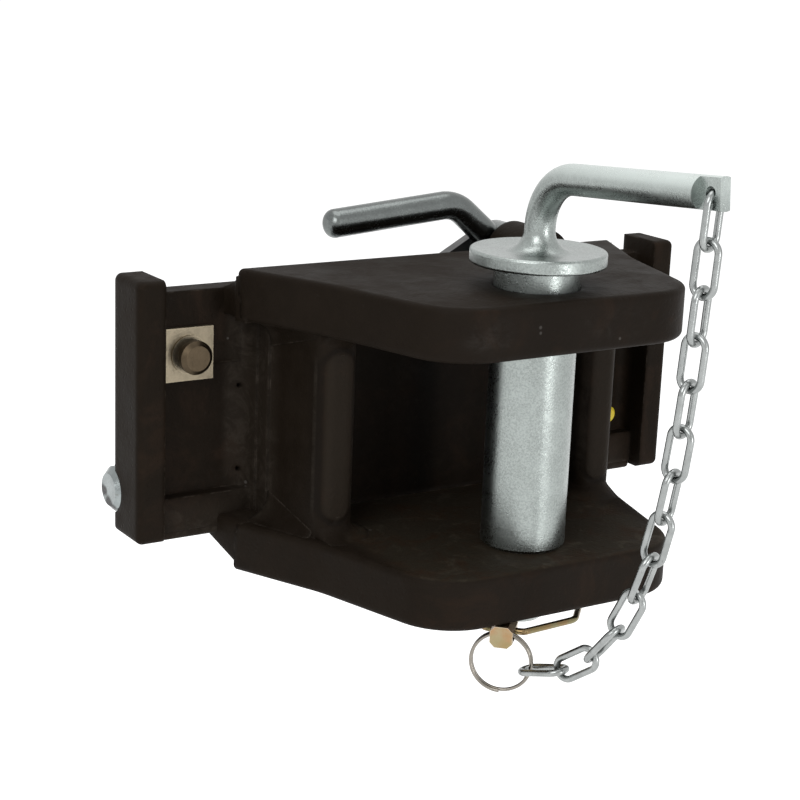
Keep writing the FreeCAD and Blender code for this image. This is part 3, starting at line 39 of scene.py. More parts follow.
class Wire:
    """One output of a node. Arithmetic on it adds the maths nodes."""

    def __init__(self, finish, socket):
        self.finish = finish
        self.socket = socket

    def _maths(self, operation, first, second=None):
        values = {0: first} if second is None else {0: first, 1: second}
        return self.finish.add("ShaderNodeMath", {"operation": operation}, values)[0]

    def __add__(self, other):
        return self._maths("ADD", self, other)

    __radd__ = __add__

    def __mul__(self, other):
        return self._maths("MULTIPLY", self, other)

    __rmul__ = __mul__

    def __sub__(self, other):
        return self._maths("SUBTRACT", self, other)

    def __rsub__(self, other):
        return self._maths("SUBTRACT", other, self)

    def __pow__(self, other):
        return self._maths("POWER", self, other)

    def size(self):
        """This value without its sign."""
        return self._maths("ABSOLUTE", self)

    def larger(self, other):
        return self._maths("MAXIMUM", self, other)

    def fade(self, low, high, start=0.0, end=1.0):
        """Smooth step of this value from low to high, mapped to start and end."""
        return self.finish.add(
            "ShaderNodeMapRange", {"interpolation_type": "SMOOTHSTEP"},
            {"Value": self, "From Min": low, "From Max": high, "To Min": start, "To Max": end})[0]


class Finish:
    """A material on a piece's own coordinates, built up node by node."""

    def __init__(self, name):
        self.material = bpy.data.materials.new(name)
        self.material.use_nodes = True
        self.tree = self.material.node_tree
        self.tree.nodes.clear()
        self.shader = self.tree.nodes.new("ShaderNodeBsdfPrincipled")
        self.output = self.tree.nodes.new("ShaderNodeOutputMaterial")
        self.tree.links.new(self.shader.outputs["BSDF"], self.output.inputs["Surface"])
        self.place = self.add("ShaderNodeTexCoord", {}, {}, "Object")

    def add(self, kind, settings, values, *outputs):
        node = self.tree.nodes.new(kind)
        for key, setting in settings.items():
            setattr(node, key, setting)
        for key, value in values.items():
            self.feed(node.inputs[key], value)
        if outputs:
            found = [Wire(self, node.outputs[name]) for name in outputs]
            return found[0] if len(found) == 1 else found
        return [Wire(self, socket) for socket in node.outputs if socket.enabled]

    def feed(self, socket, value):
        if isinstance(value, Wire):
            self.tree.links.new(value.socket, socket)
        elif isinstance(value, tuple) and len(value) == 3 and socket.type == "RGBA":
            socket.default_value = (*value, 1)
        else:
            socket.default_value = value

    def noise(self, size, detail=3.0, rough=0.55, stretch=(1, 1, 1), warp=0.0, shift=(0, 0, 0)):
        """Noise whose lumps are about one size across, in metres."""
        spot = self.add("ShaderNodeMapping", {},
                        {"Vector": self.place, "Scale": stretch, "Location": shift}, "Vector")
        return self.add("ShaderNodeTexNoise", {},
                        {"Vector": spot, "Scale": 1 / size, "Detail": detail,
                         "Roughness": rough, "Distortion": warp})[0]

    def cells(self, size):
        """Distance to the nearest of many points strewn about one size apart."""
        return self.add("ShaderNodeTexVoronoi", {}, {"Vector": self.place, "Scale": 1 / size})[0]

    def mix(self, share, first, second):
        """The first colour, with a share of the second over it."""
        node = self.tree.nodes.new("ShaderNodeMix")
        node.data_type = "RGBA"
        self.feed(node.inputs[0], share)
        self.feed(node.inputs[6], first)
        self.feed(node.inputs[7], second)
        return Wire(self, node.outputs[2])

    def axes(self, vector):
        return self.add("ShaderNodeSeparateXYZ", {}, {"Vector": vector}, "X", "Y", "Z")

    def facing(self):
        """Components of the surface's own direction."""
        normal = self.add("ShaderNodeNewGeometry", {}, {}, "Normal")
        return self.axes(normal)

    def edges(self, radius, low=0.02, high=0.25):
        """One on the rims of a piece, nought on its flats."""
        soft = self.add("ShaderNodeBevel", {"samples": 6}, {"Radius": radius}, "Normal")
        hard = self.add("ShaderNodeNewGeometry", {}, {}, "Normal")
        along = self.add("ShaderNodeVectorMath", {"operation": "DOT_PRODUCT"},
                         {0: soft, 1: hard}, "Value")
        return (1 - along).fade(low, high)

    def spot(self, centre, reach):
        """One at a place on the piece, fading to nought at a distance."""
        gap = self.add("ShaderNodeVectorMath", {"operation": "DISTANCE"},
                       {0: self.place, 1: centre}, "Value")
        return gap.fade(reach, reach * 0.4)

    def bump(self, height, depth, under=None):
        """Relief with height in shares of a depth in metres."""
        values = {"Height": height, "Distance": depth, "Strength": 1.0}
        if under is not None:
            values["Normal"] = under
        return self.add("ShaderNodeBump", {}, values, "Normal")

    def set(self, **sockets):
        """Feed the shader's inputs, with underlines for the blanks in their names."""
        for name, value in sockets.items():
            self.feed(self.shader.inputs[name.replace("_", " ")], value)
        return self.material


# Finishes

def inside_jaw(x, z):
    """One between the cheeks and the jaw plates."""
    across = x.fade(0.075, 0.062) * x.fade(-0.075, -0.062)
    return across * z.fade(0.050, 0.044) * z.fade(-0.0495, -0.0465)


def web_joint(x, y, z, front):
    """One at the roots of the cheeks and at the feet of the webs."""
    side = x.size()
    root = side.fade(0.083, 0.087) * side.fade(0.102, 0.097) * y.fade(0.070, 0.079)
    root = root * z.size().fade(0.0475, 0.0455)
    foot = z.fade(-0.036, -0.045) * side.fade(0.140, 0.125) * side.fade(0.088, 0.095) * 0.9
    return root.larger(foot * front)


def cheek_nose(x, y, z):
    """The long rounded flat down the front of each cheek, in painted light, the hollow line, in
    painted shade, and the rims, worn edges with painted highlights.
    """
    side = x.size()
    across = side - 0.0738
    beyond = (z.size() - 0.0315).larger(0.0)
    away = (across * across + beyond * beyond) ** 0.5
    ahead = y.fade(0.058, 0.051)
    # Painted light on the nose's rounded flat
    flat = away.fade(0.0078, 0.0052) * ahead
    # The hollow line beside it, given painted shade and sunk in the relief
    line = away.fade(0.0066, 0.0080) * away.fade(0.0104, 0.0086) * ahead
    # Rims: the outer one worn edge with painted highlight, the inner one a painted glint
    outer_rim = y.fade(0.0444, 0.0456) * y.fade(0.0478, 0.0466) * side.fade(0.078, 0.080)
    inner_glint = side.fade(0.0674, 0.0660) * ahead * 0.8
    rims = outer_rim.larger(inner_glint) * z.size().fade(0.040, 0.028)
    return flat, line, rims


def brow_scuffs(f, front, z):
    """Scuffs on the upper plate's front face, where drawbars knock against it."""
    rub = f.noise(0.007, 5, 0.8, stretch=(1, 1, 2.2), warp=1.2, shift=(0, 5, 0)).fade(0.5, 0.75)
    smear = f.noise(0.013, 4, 0.7, stretch=(1, 1, 1.6), warp=0.9, shift=(0, 5, 2))
    brow = front * z.fade(0.048, 0.056) * z.fade(0.071, 0.062)
    left = f.spot((-0.046, -0.031, 0.055), 0.016)
    middle = f.spot((0.018, -0.033, 0.056), 0.024) * 0.6
    marks = rub * 0.4 + smear.fade(0.45, 0.75) * 0.6
    return marks * (brow * left.larger(middle)) * 0.30


# Colours of the casting, as linear light
PAINT_DARK = (0.0092, 0.0062, 0.0038)
PAINT_WARM = (0.0122, 0.0084, 0.0054)
PAINT_FADED = (0.0180, 0.0130, 0.0092)
FRONT_HAZE = (0.0150, 0.0112, 0.0084)
RUDDY = (0.0250, 0.0150, 0.0095)
DUST_FILM = (0.0200, 0.0150, 0.0115)
# Painted shade for the throat's back wall
THROAT_PAINTED_SHADE = (0.0034, 0.0024, 0.0015)
# Dust on the jaw floor, partly a painted sheen
FLOOR_DUST_AND_SHEEN = (0.0290, 0.0235, 0.0165)
# Light smudges at the cheek roots and web feet, also painted light lifting the shade in these
# hollows
SMUDGE_AND_PAINTED_LIGHT = (0.0380, 0.0305, 0.0235)
# Painted light on the cheeks' noses, painted shade in their hollow lines, worn rims with painted
# highlights
NOSE_PAINTED_LIGHT = (0.0290, 0.0225, 0.0165)
NOSE_HOLLOW_SHADE = (0.0050, 0.0036, 0.0026)
NOSE_RIM_WEAR_AND_GLINT = (0.0400, 0.0330, 0.0260)
RUST = (0.030, 0.0150, 0.0080)
# Pale rust bloom, partly painted highlights
BLOOM_AND_HIGHLIGHTS = (0.075, 0.065, 0.047)
# Worn paint on the rims, also painted highlight lines along the plate edges
WORN_EDGE_AND_HIGHLIGHT = (0.085, 0.070, 0.056)
BARE_STEEL = (0.15, 0.14, 0.13)

# Single chips in the paint: place and reach
CHIPS = (
    ((-0.0219, -0.0335, 0.0607), 0.0010),
    ((-0.0217, -0.0335, 0.0583), 0.0009),
    ((0.0210, -0.0335, 0.0521), 0.0009),
    ((-0.0905, 0.0950, -0.0340), 0.0011),
    ((-0.0905, 0.0950, -0.0365), 0.0010),
    ((-0.0997, 0.0975, 0.0349), 0.0008),
    ((-0.0539, 0.0431, -0.0470), 0.0011),
)


def cast_paint():
    """Thin brown-black paint over a fine steel casting, dusty, chipped and scuffed, with painted
    shade and painted light in places.
    """
    f = Finish("dark_casting_paint")
    _, ny, nz = f.facing()
    x, y, z = f.axes(f.place)
    front = (0 - ny).fade(0.3, 0.8)
    up = nz.fade(0.55, 0.98)
    inside = inside_jaw(x, z)

    # The paint itself, clouded and faded
    cloud = f.noise(0.045, 4, 0.6).fade(0.3, 0.7)
    blotch = f.noise(0.012, 4, 0.65, shift=(0.3, 0.1, 0)).fade(0.35, 0.7)
    paint = f.mix(cloud, PAINT_DARK, PAINT_WARM)
    paint = f.mix(blotch * 0.35, paint, PAINT_FADED)
    paint = f.mix(front * y.fade(0.045, 0.025) * 0.6, paint, FRONT_HAZE)
    ruddy = f.noise(0.026, 5, 0.7, warp=0.9, shift=(3, 0, 5)).fade(0.46, 0.70)
    paint = f.mix(ruddy * front * 0.6, paint, RUDDY)
    film = f.noise(0.028, 5, 0.7, warp=0.6, shift=(1, 0, 0)).fade(0.38, 0.72)
    paint = f.mix(up * film * 0.4, paint, DUST_FILM)

    # The throat: painted shade on its back wall, darkest in a band down its middle; a floor of
    # dust and painted sheen
    shaded_back_wall = inside * y.fade(0.066, 0.079) * up.fade(0.5, 0.1)
    middle = x.fade(-0.019, -0.005) * x.fade(0.008, 0.000)
    # Painted shade on the throat's back wall, deepest in a band down its middle
    paint = f.mix(shaded_back_wall * (0.40 + middle * 0.5), paint, THROAT_PAINTED_SHADE)
    # Lighter upward faces inside the jaw: dust, partly a painted sheen
    paint = f.mix(inside * up * 0.9, paint, FLOOR_DUST_AND_SHEEN)

    # Smudged joints, also lightened with painted light against their shade, and the cheeks' noses
    # in painted light and shade
    patchy = f.noise(0.014, 5, 0.75, warp=0.9, shift=(0, 3, 3)).fade(0.35, 0.70)
    joint = web_joint(x, y, z, front)
    # Smudges at the joints, also painted light over the shade in these hollows
    paint = f.mix(joint * patchy.larger(0.35) * 0.8, paint, SMUDGE_AND_PAINTED_LIGHT)
    nose_light, nose_line, nose_rims_worn_and_lit = cheek_nose(x, y, z)
    # Painted light on the noses, painted shade in their hollow lines, worn rims with painted
    # highlights
    paint = f.mix(nose_light * 0.5, paint, NOSE_PAINTED_LIGHT)
    paint = f.mix(nose_line * 0.5, paint, NOSE_HOLLOW_SHADE)
    paint = f.mix(nose_rims_worn_and_lit * (patchy * 0.45 + 0.05), paint, NOSE_RIM_WEAR_AND_GLINT)

    # Rust and its pale bloom, mostly on the floor of the jaw; the pale mottles are partly painted
    # highlights
    rust = f.noise(0.020, 6, 0.75, warp=0.8, shift=(0, 2, 0)).fade(0.45, 0.68)
    paint = f.mix(rust * inside * up.larger(0.15) * 0.65, paint, RUST)
    bloom = f.noise(0.010, 4, 0.7, warp=0.5, shift=(0, 2, 6)).fade(0.52, 0.72)
    paint = f.mix(bloom * inside * up.larger(0.1) * 0.45, paint, BLOOM_AND_HIGHLIGHTS)

    # Worn edges that also carry painted highlight lines, scuffs and chips
    rim = f.edges(0.0016)
    worn = rim * f.noise(0.009, 4, 0.7, shift=(0, 0, 3)).fade(0.46, 0.66)
    # Worn edges, partly painted highlight lines
    paint = f.mix(worn * 0.65, paint, WORN_EDGE_AND_HIGHLIGHT)
    flecks = f.noise(0.0035, 2, 0.5, shift=(4, 1, 0)).fade(0.745, 0.765)
    scuffed = brow_scuffs(f, front, z).larger(flecks * 0.4 * rim.larger(0.15))
    for centre, reach in CHIPS:
        scuffed = scuffed.larger(f.spot(centre, reach))
    paint = f.mix(scuffed * 0.42, paint, BARE_STEEL)

    # Relief of the cast skin, over edges that the mould left round
    grain = f.noise(0.0016, 3, 0.6)
    swell = f.noise(0.0075, 2, 0.5, shift=(7, 0, 0))
    pits = f.cells(0.0034).fade(0.30, 0.05)
    height = grain * 0.5 + swell * 0.8 - pits * 0.3 - scuffed * 0.15 - nose_line * 0.6
    rounded = f.add("ShaderNodeBevel", {"samples": 8}, {"Radius": 0.0035}, "Normal")
    relief = f.bump(height, 0.0003, rounded)
    rough = 0.50 + cloud * 0.08 + up * film * 0.16 + blotch * 0.06 + scuffed * 0.1
    return f.set(Base_Color=paint, Roughness=rough, Normal=relief, Coat_Weight=0.0,
                 Specular_IOR_Level=0.055)


def forged_zinc(name, tone, roughness, grain_size=0.0011, depth=0.00009, lean=(1, 1, 1),
                painted_light_above=None):
    """Bright zinc over a forged or drawn bar: fine sparkle, faint clouds, few pits.

    Above a given height, on the handle, upward faces get a painted highlight and faces turned up
    and towards +x a painted dark reflection.
    """
    f = Finish(name)
    mottle = f.noise(0.010, 4, 0.6, stretch=lean, warp=0.4).fade(0.3, 0.72)
    sparkle = f.noise(0.0009, 3, 0.8, shift=(6, 0, 2)).fade(0.42, 0.62)
    bright = tuple(min(1.0, c * 1.10) for c in tone)
    dull = tuple(c * 0.93 for c in tone)
    colour = f.mix(mottle, dull, bright)
    colour = f.mix(sparkle * 0.6, colour, tuple(c * 0.66 for c in tone))
    stain = f.noise(0.018, 4, 0.7, shift=(2, 2, 2)).fade(0.62, 0.80)
    colour = f.mix(stain * 0.3, colour, (tone[0] * 0.70, tone[1] * 0.69, tone[2] * 0.66))
    if painted_light_above is not None:
        z = f.axes(f.place)[2]
        nx, _, nz = f.facing()
        handle = z.fade(painted_light_above, painted_light_above + 0.02)
        # Painted highlight: the handle's upward faces made brighter
        painted_top_highlight = handle * nz.fade(-0.1, 0.6, 0.25, 1.0)
        colour = f.mix(painted_top_highlight * 0.8, colour, tuple(min(1, c * 2.3) for c in tone))
        # Painted dark reflection along the handle's upper edge
        shaded = handle * nx.fade(0.16, 0.40) * nz.fade(0.2, 0.5)
        colour = f.mix(shaded * 0.8, colour, tuple(c * 0.30 for c in tone))
    grain = f.noise(grain_size, 4, 0.7, stretch=lean)
    dents = f.noise(grain_size * 5, 2, 0.5, shift=(3, 0, 1))
    pits = f.cells(grain_size * 2.2).fade(0.22, 0.04)
    relief = f.bump(grain * 1.0 + dents * 0.5 - pits * 0.4, depth)
    rough = roughness + mottle * 0.04 + stain * 0.1 + sparkle * 0.06
    return f.set(Base_Color=colour, Metallic=1.0 - stain * 0.08, Roughness=rough, Normal=relief)


def bright_wire(name, tone, roughness):
    """Plated wire, drawn smooth, with fine handling marks."""
    f = Finish(name)
    cloud = f.noise(0.006, 4, 0.6).fade(0.3, 0.7)
    marks = f.noise(0.0009, 3, 0.7, stretch=(1, 1, 0.3)).fade(0.58, 0.72)
    colour = f.mix(cloud, tuple(c * 0.8 for c in tone), tone)
    colour = f.mix(marks * 0.5, colour, tuple(c * 0.45 for c in tone))
    relief = f.bump(f.noise(0.0011, 2, 0.5) * 0.6 - marks * 0.5, 0.00006)
    return f.set(Base_Color=colour, Metallic=1.0, Roughness=roughness + cloud * 0.1 + marks * 0.15,
                 Normal=relief)


def yellow_passivate(name, tone, roughness):
    """Yellow chromate over zinc: gold with faint pink and green drifts."""
    f = Finish(name)
    drift = f.noise(0.007, 3, 0.6).fade(0.35, 0.65)
    veil = f.noise(0.011, 3, 0.6, shift=(5, 0, 2)).fade(0.4, 0.7)
    colour = f.mix(drift, tone, (tone[0] * 1.05, tone[1] * 0.80, tone[2] * 0.70))
    colour = f.mix(veil * 0.5, colour, (tone[0] * 0.82, tone[1] * 0.95, tone[2] * 0.75))
    rim = f.edges(0.0009)
    colour = f.mix(rim * 0.5, colour, (0.62, 0.58, 0.50))
    relief = f.bump(f.noise(0.0010, 3, 0.6), 0.00008)
    return f.set(Base_Color=colour, Metallic=1.0, Roughness=roughness + veil * 0.12, Normal=relief)


def machined_steel(name, tone, roughness, stretch, nicks=()):
    """Oiled bare steel with the marks of the tool running one way."""
    f = Finish(name)
    lines = f.noise(0.0009, 4, 0.7, stretch=stretch)
    cloud = f.noise(0.014, 4, 0.65, shift=(1, 4, 0)).fade(0.35, 0.7)
    film = f.noise(0.006, 5, 0.75, shift=(3, 1, 2)).fade(0.58, 0.75)
    colour = f.mix(cloud, tuple(c * 0.72 for c in tone), tone)
    colour = f.mix(film * 0.45, colour, (tone[0] * 0.48, tone[1] * 0.38, tone[2] * 0.30))
    rim = f.edges(0.0008)
    colour = f.mix(rim * 0.5, colour, tuple(min(1, c * 1.35) for c in tone))
    for centre, reach in nicks:
        colour = f.mix(f.spot(centre, reach), colour, (0.012, 0.012, 0.012))
    relief = f.bump(lines * 0.7, 0.00008)
    return f.set(Base_Color=colour, Metallic=1.0 - film * 0.35,
                 Roughness=roughness + lines * 0.12 + film * 0.18, Normal=relief)


def nickel(name, tone):
    """Warm dull nickel on pressed and turned fasteners, scratched where tools slip."""
    f = Finish(name)
    cloud = f.noise(0.005, 4, 0.65).fade(0.3, 0.7)
    scratch = f.noise(0.0013, 4, 0.8, stretch=(0.35, 1, 3), warp=0.4).fade(0.6, 0.7)
    rim = f.edges(0.0008)
    colour = f.mix(cloud, tuple(c * 0.7 for c in tone), tone)
    colour = f.mix(scratch * 0.5, colour, tuple(min(1, c * 1.4) for c in tone))
    colour = f.mix(rim * 0.6, colour, tuple(min(1, c * 1.5) for c in tone))
    relief = f.bump(f.noise(0.0012, 3, 0.6) * 0.7 - scratch * 0.4, 0.00008)
    return f.set(Base_Color=colour, Metallic=1.0, Roughness=0.34 + cloud * 0.12, Normal=relief)


def cap_plastic():
    """Yellow soft plastic, a little faded and grimy."""
    f = Finish("dust_cap_yellow")
    fade = f.noise(0.004, 3, 0.6).fade(0.3, 0.7)
    grime = f.noise(0.003, 4, 0.7, shift=(2, 0, 0)).fade(0.58, 0.72)
    colour = f.mix(fade, (0.78, 0.58, 0.02), (0.86, 0.70, 0.05))
    colour = f.mix(grime * 0.4, colour, (0.30, 0.22, 0.04))
    relief = f.bump(f.noise(0.0008, 2, 0.5), 0.00004)
    return f.set(Base_Color=colour, Roughness=0.38 + grime * 0.2, Normal=relief)


paint = cast_paint()
# Painted highlight and painted dark reflection on the handle above 0.112 m
tow_zinc = forged_zinc("tow_pin_zinc", (0.325, 0.355, 0.342), 0.25, painted_light_above=0.112)
lever_zinc = forged_zinc("lever_zinc", (0.165, 0.178, 0.174), 0.19, 0.0016, 0.00008)
ring_wire = bright_wire("split_ring_steel", (0.27, 0.25, 0.22), 0.20)
chain_wire = bright_wire("chain_zinc", (0.34, 0.355, 0.35), 0.20)
head_gold = yellow_passivate("linch_head_gold", (0.33, 0.265, 0.16), 0.32)
bow_gold = yellow_passivate("bow_gold", (0.21, 0.185, 0.105), 0.22)
pin_steel = machined_steel("locking_pin_steel", (0.30, 0.30, 0.30), 0.28, (1, 4, 4))
shaft_steel = machined_steel("shaft_steel", (0.42, 0.42, 0.43), 0.28, (4, 1, 4))
plate_steel = machined_steel("sliding_plate_steel", (0.15, 0.15, 0.15), 0.38, (1, 1, 4))
left_pin_steel = machined_steel(
    "left_pin_steel", (0.30, 0.33, 0.33), 0.16, (1, 4, 4),
    (((-0.1515, 0.1190, -0.0362), 0.0036), ((-0.1515, 0.1166, -0.0360), 0.0030),
     ((-0.1515, 0.1130, -0.0405), 0.0042), ((-0.1515, 0.1106, -0.0424), 0.0046)))
spring_steel = machined_steel("spring_steel", (0.20, 0.20, 0.21), 0.32, (1, 1, 1))
screw_black = machined_steel("screw_black", (0.07, 0.07, 0.075), 0.34, (1, 1, 1))
strap_zinc = forged_zinc("strap_zinc", (0.52, 0.54, 0.56), 0.28, 0.0014, 0.00006)
washer_nickel = nickel("square_washer_nickel", (0.27, 0.23, 0.165))
bolt_nickel = nickel("round_head_nickel", (0.085, 0.064, 0.041))
cap_yellow = cap_plastic()

WORN_BY = {
    "hitch_body": paint,
    "tow_pin": tow_zinc,
    "linch_pin": head_gold,
    "linch_pin_bow": bow_gold,
    "split_ring": ring_wire,
    "chain": chain_wire,
    "release_lever": lever_zinc,
    "lever_shaft": shaft_steel,
    "shaft_washers": strap_zinc,
    "shaft_circlip": spring_steel,
    "crank_arm": plate_steel,
    "crank_pin": shaft_steel,
    "release_plate": plate_steel,
    "guide_screws": screw_black,
    "right_locking_pin": pin_steel,
    "left_locking_pin": left_pin_steel,
    "right_pin_spring": spring_steel,
    "left_pin_spring": spring_steel,
    "right_cross_pin": shaft_steel,
    "left_cross_pin": shaft_steel,
    "keeper_strap": strap_zinc,
    "strap_spacers": strap_zinc,
    "guide_bolts": bolt_nickel,
    "square_washers": washer_nickel,
    "nut_washers": strap_zinc,
    "guide_nuts": strap_zinc,
    "grease_nipple": shaft_steel,
    "grease_nipple_cap": cap_yellow,
}

for name, material in WORN_BY.items():
    nodes[name].data.materials.clear()
    nodes[name].data.materials.append(material)


# Cast hollows of the body

def nothing_selected():
    """Deselect everything before an operator runs."""
    for thing in bpy.context.selected_objects:
        thing.select_set(False)


def pick(piece):
    """Select one piece alone and make it active."""
    nothing_selected()
    piece.select_set(True)
    bpy.context.view_layer.objects.active = piece


def fix_place(piece):
    """Leave a piece's object at the origin, unturned and unscaled."""
    pick(piece)
    bpy.ops.object.transform_apply(location=True, rotation=True, scale=True)


def block(low, high):
    """A box from its low corner to its high one."""
    nothing_selected()
    middle = [(a + b) / 2 for a, b in zip(low, high)]
    bpy.ops.mesh.primitive_cube_add(size=1, location=middle,
                                    scale=[b - a for a, b in zip(low, high)])
    piece = bpy.context.active_object
    fix_place(piece)
    return piece


def narrow_face(piece, direction, share, about):
    """Scale the face that looks one way towards a point, so that the block tapers."""
    pick(piece)
    bpy.ops.object.mode_set(mode="EDIT")
    bpy.ops.mesh.select_all(action="DESELECT")
    bpy.ops.object.mode_set(mode="OBJECT")
    for face in piece.data.polygons:
        face.select = face.normal.dot(Vector(direction)) > 0.9
    bpy.ops.object.mode_set(mode="EDIT")
    bpy.ops.transform.resize(value=(share, 1, share), center_override=about)
    bpy.ops.object.mode_set(mode="OBJECT")


def slice_off(piece, point, normal):
    """Cut a piece at a plane and keep the side that the normal leaves."""
    pick(piece)
    bpy.ops.object.mode_set(mode="EDIT")
    bpy.ops.mesh.select_all(action="SELECT")
    bpy.ops.mesh.bisect(plane_co=point, plane_no=normal, use_fill=True, clear_outer=True)
    bpy.ops.object.mode_set(mode="OBJECT")


def hollow_out(piece, cutter):
    """Take the cutter's shape out of a piece."""
    pick(piece)
    cut = piece.modifiers.new("hollow", "BOOLEAN")
    cut.operation = "DIFFERENCE"
    cut.solver = "EXACT"
    cut.object = cutter
    bpy.ops.object.modifier_apply(modifier="hollow")
    bpy.data.objects.remove(cutter)


def soften(piece, width):
    """Round the sharp edges of a cast piece."""
    pick(piece)
    rounding = piece.modifiers.new("rounding", "BEVEL")
    rounding.width = width
    rounding.segments = 4
    rounding.limit_method = "ANGLE"
    rounding.angle_limit = math.radians(50)
    bpy.ops.object.modifier_apply(modifier="rounding")


def as_one(pieces, name, material, body):
    """Join pieces into one object of one material that rides on a body."""
    nothing_selected()
    for piece in pieces:
        piece.select_set(True)
    bpy.context.view_layer.objects.active = pieces[0]
    bpy.ops.object.join()
    whole = bpy.context.active_object
    whole.name = name
    bpy.ops.object.shade_smooth_by_angle(angle=math.radians(38))
    fix_place(whole)
    whole.data.materials.clear()
    whole.data.materials.append(material)
    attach(whole, body)
    return whole


# Faces of the casting that the hollows meet, in metres
MOUTH_HALF = 0.047
PLATE_THICK = 0.0235
PLATE_REAR = 0.080
WEB_FRONT = 0.1005
CHEEK_FRONT = 0.040
CHEEK_OUTER = 0.0825
CHEEK_INNER = 0.064
CHEEK_LEAN = 0.0065 / 0.0615

# Sizes of the necks, feet, hollows and arches
NECK_INNER = 0.086
NECK_OUTER = 0.1085
NECK_FRONT = PLATE_REAR - 0.001
NECK_RISE = 0.0115
NECK_SKEW = 0.0055
NECK_CORNER = 0.1030
NECK_HOLLOW = 0.0130
NECK_HOLLOW_X = 0.1135
NECK_ROUND = 0.0022
FOOT_INNER = 0.1005
FOOT_OUTER = 0.1378
FOOT_PROUD = 0.0078
FOOT_LOW = -0.0560
FOOT_TOP = -0.0500
FOOT_ROUND = 0.0020
FLARE_START = CHEEK_FRONT + 0.006
FLARE_SMALL = 0.0030
FLARE_LARGE = 0.0130
FLARE_SINK = 0.0025
NOSE_SWEEP = 0.0100
NOSE_ROUND = 0.0026
OVERLAP = 0.001
ROUND_STEPS = 96


def neck(side, level):
    """Neck that ties the rear corner of a jaw plate to the web; the upper one is hollowed."""
    outer = PLATE_THICK + MOUTH_HALF
    run = WEB_FRONT - PLATE_REAR
    zs = sorted((level * (MOUTH_HALF - 0.0005), level * (outer - 0.0006)))
    xs = sorted((side * NECK_INNER, side * NECK_OUTER))
    piece = block((xs[0], PLATE_REAR - 4 * OVERLAP, zs[0]), (xs[1], WEB_FRONT + OVERLAP, zs[1]))
    slice_off(piece, (0, NECK_FRONT, level * (outer - 0.0008)), (0, NECK_RISE, level * run))
    slice_off(piece, (side * NECK_CORNER, NECK_FRONT, 0), (side * run, -NECK_SKEW, 0))
    if level > 0:
        nothing_selected()
        bpy.ops.mesh.primitive_cylinder_add(
            vertices=ROUND_STEPS, radius=NECK_HOLLOW, depth=0.2,
            location=(side * NECK_HOLLOW_X, PLATE_REAR + NECK_RISE, 0))
        hollow_out(piece, bpy.context.active_object)
    soften(piece, NECK_ROUND)
    return piece


def web_foot(side):
    """Thickened lower edge of the web."""
    xs = sorted((side * FOOT_INNER, side * FOOT_OUTER))
    piece = block((xs[0], WEB_FRONT - FOOT_PROUD, FOOT_LOW),
                  (xs[1], WEB_FRONT + 8 * OVERLAP, FOOT_TOP))
    soften(piece, FOOT_ROUND)
    return piece


def cheek_face(side, y):
    """The outer face of a cheek, which leans outwards to the rear."""
    return side * (CHEEK_OUTER + CHEEK_LEAN * (y - CHEEK_FRONT))


def cheek_flare(side, level):
    """Hollow between a cheek's outer face and a jaw plate, widening to the rear."""
    face_front = cheek_face(side, FLARE_START)
    face_rear = cheek_face(side, PLATE_REAR)
    sunk = level * (MOUTH_HALF + FLARE_SINK)
    xs = sorted((face_rear - side * FLARE_SINK, face_rear + side * FLARE_LARGE))
    zs = sorted((sunk, level * (MOUTH_HALF - FLARE_LARGE)))
    piece = block((xs[0], FLARE_START, zs[0]), (xs[1], PLATE_REAR, zs[1]))
    share = (FLARE_SMALL + FLARE_SINK) / (FLARE_LARGE + FLARE_SINK)
    corner = Vector((face_rear - side * FLARE_SINK, FLARE_START, sunk))
    narrow_face(piece, (0, -1, 0), share, corner)
    pick(piece)
    bpy.ops.object.mode_set(mode="EDIT")
    bpy.ops.transform.translate(value=(face_front - face_rear, 0, 0))
    bpy.ops.object.mode_set(mode="OBJECT")
    first = Vector((face_front + side * FLARE_SMALL, FLARE_START,
                    level * (MOUTH_HALF - FLARE_SMALL)))
    last = Vector((face_rear + side * FLARE_LARGE, PLATE_REAR,
                   level * (MOUTH_HALF - FLARE_LARGE)))
    axis = last - first
    over = 0.3
    start = first - axis * over
    end = last + axis * over
    grow = (FLARE_LARGE - FLARE_SMALL) * over
    nothing_selected()
    bpy.ops.mesh.primitive_cone_add(
        vertices=ROUND_STEPS, radius1=max(0.0001, FLARE_SMALL - grow),
        radius2=FLARE_LARGE + grow, depth=(end - start).length, location=(start + end) / 2,
        rotation=axis.to_track_quat("Z", "Y").to_euler())
    hollow_out(piece, bpy.context.active_object)
    return piece


def nose_flare(side, level):
    """Arch where the front of a cheek sweeps forward into a jaw plate."""
    radius = (CHEEK_OUTER - CHEEK_INNER) / 2
    x = side * (CHEEK_OUTER + CHEEK_INNER) / 2
    y = CHEEK_FRONT + radius
    nothing_selected()
    bpy.ops.mesh.primitive_cylinder_add(
        vertices=ROUND_STEPS, radius=radius + NOSE_SWEEP, depth=NOSE_SWEEP + OVERLAP,
        location=(x, y, level * (MOUTH_HALF - (NOSE_SWEEP - OVERLAP) / 2)))
    piece = bpy.context.active_object
    fix_place(piece)
    nothing_selected()
    bpy.ops.mesh.primitive_torus_add(
        major_segments=ROUND_STEPS, minor_segments=72,
        major_radius=radius + NOSE_SWEEP + 0.00005, minor_radius=NOSE_SWEEP,
        location=(x, y, level * (MOUTH_HALF - NOSE_SWEEP)))
    hollow_out(piece, bpy.context.active_object)
    slice_off(piece, (side * (CHEEK_OUTER - 0.0006), CHEEK_FRONT, 0), (side, -CHEEK_LEAN, 0))
    soften(piece, NOSE_ROUND)
    return piece


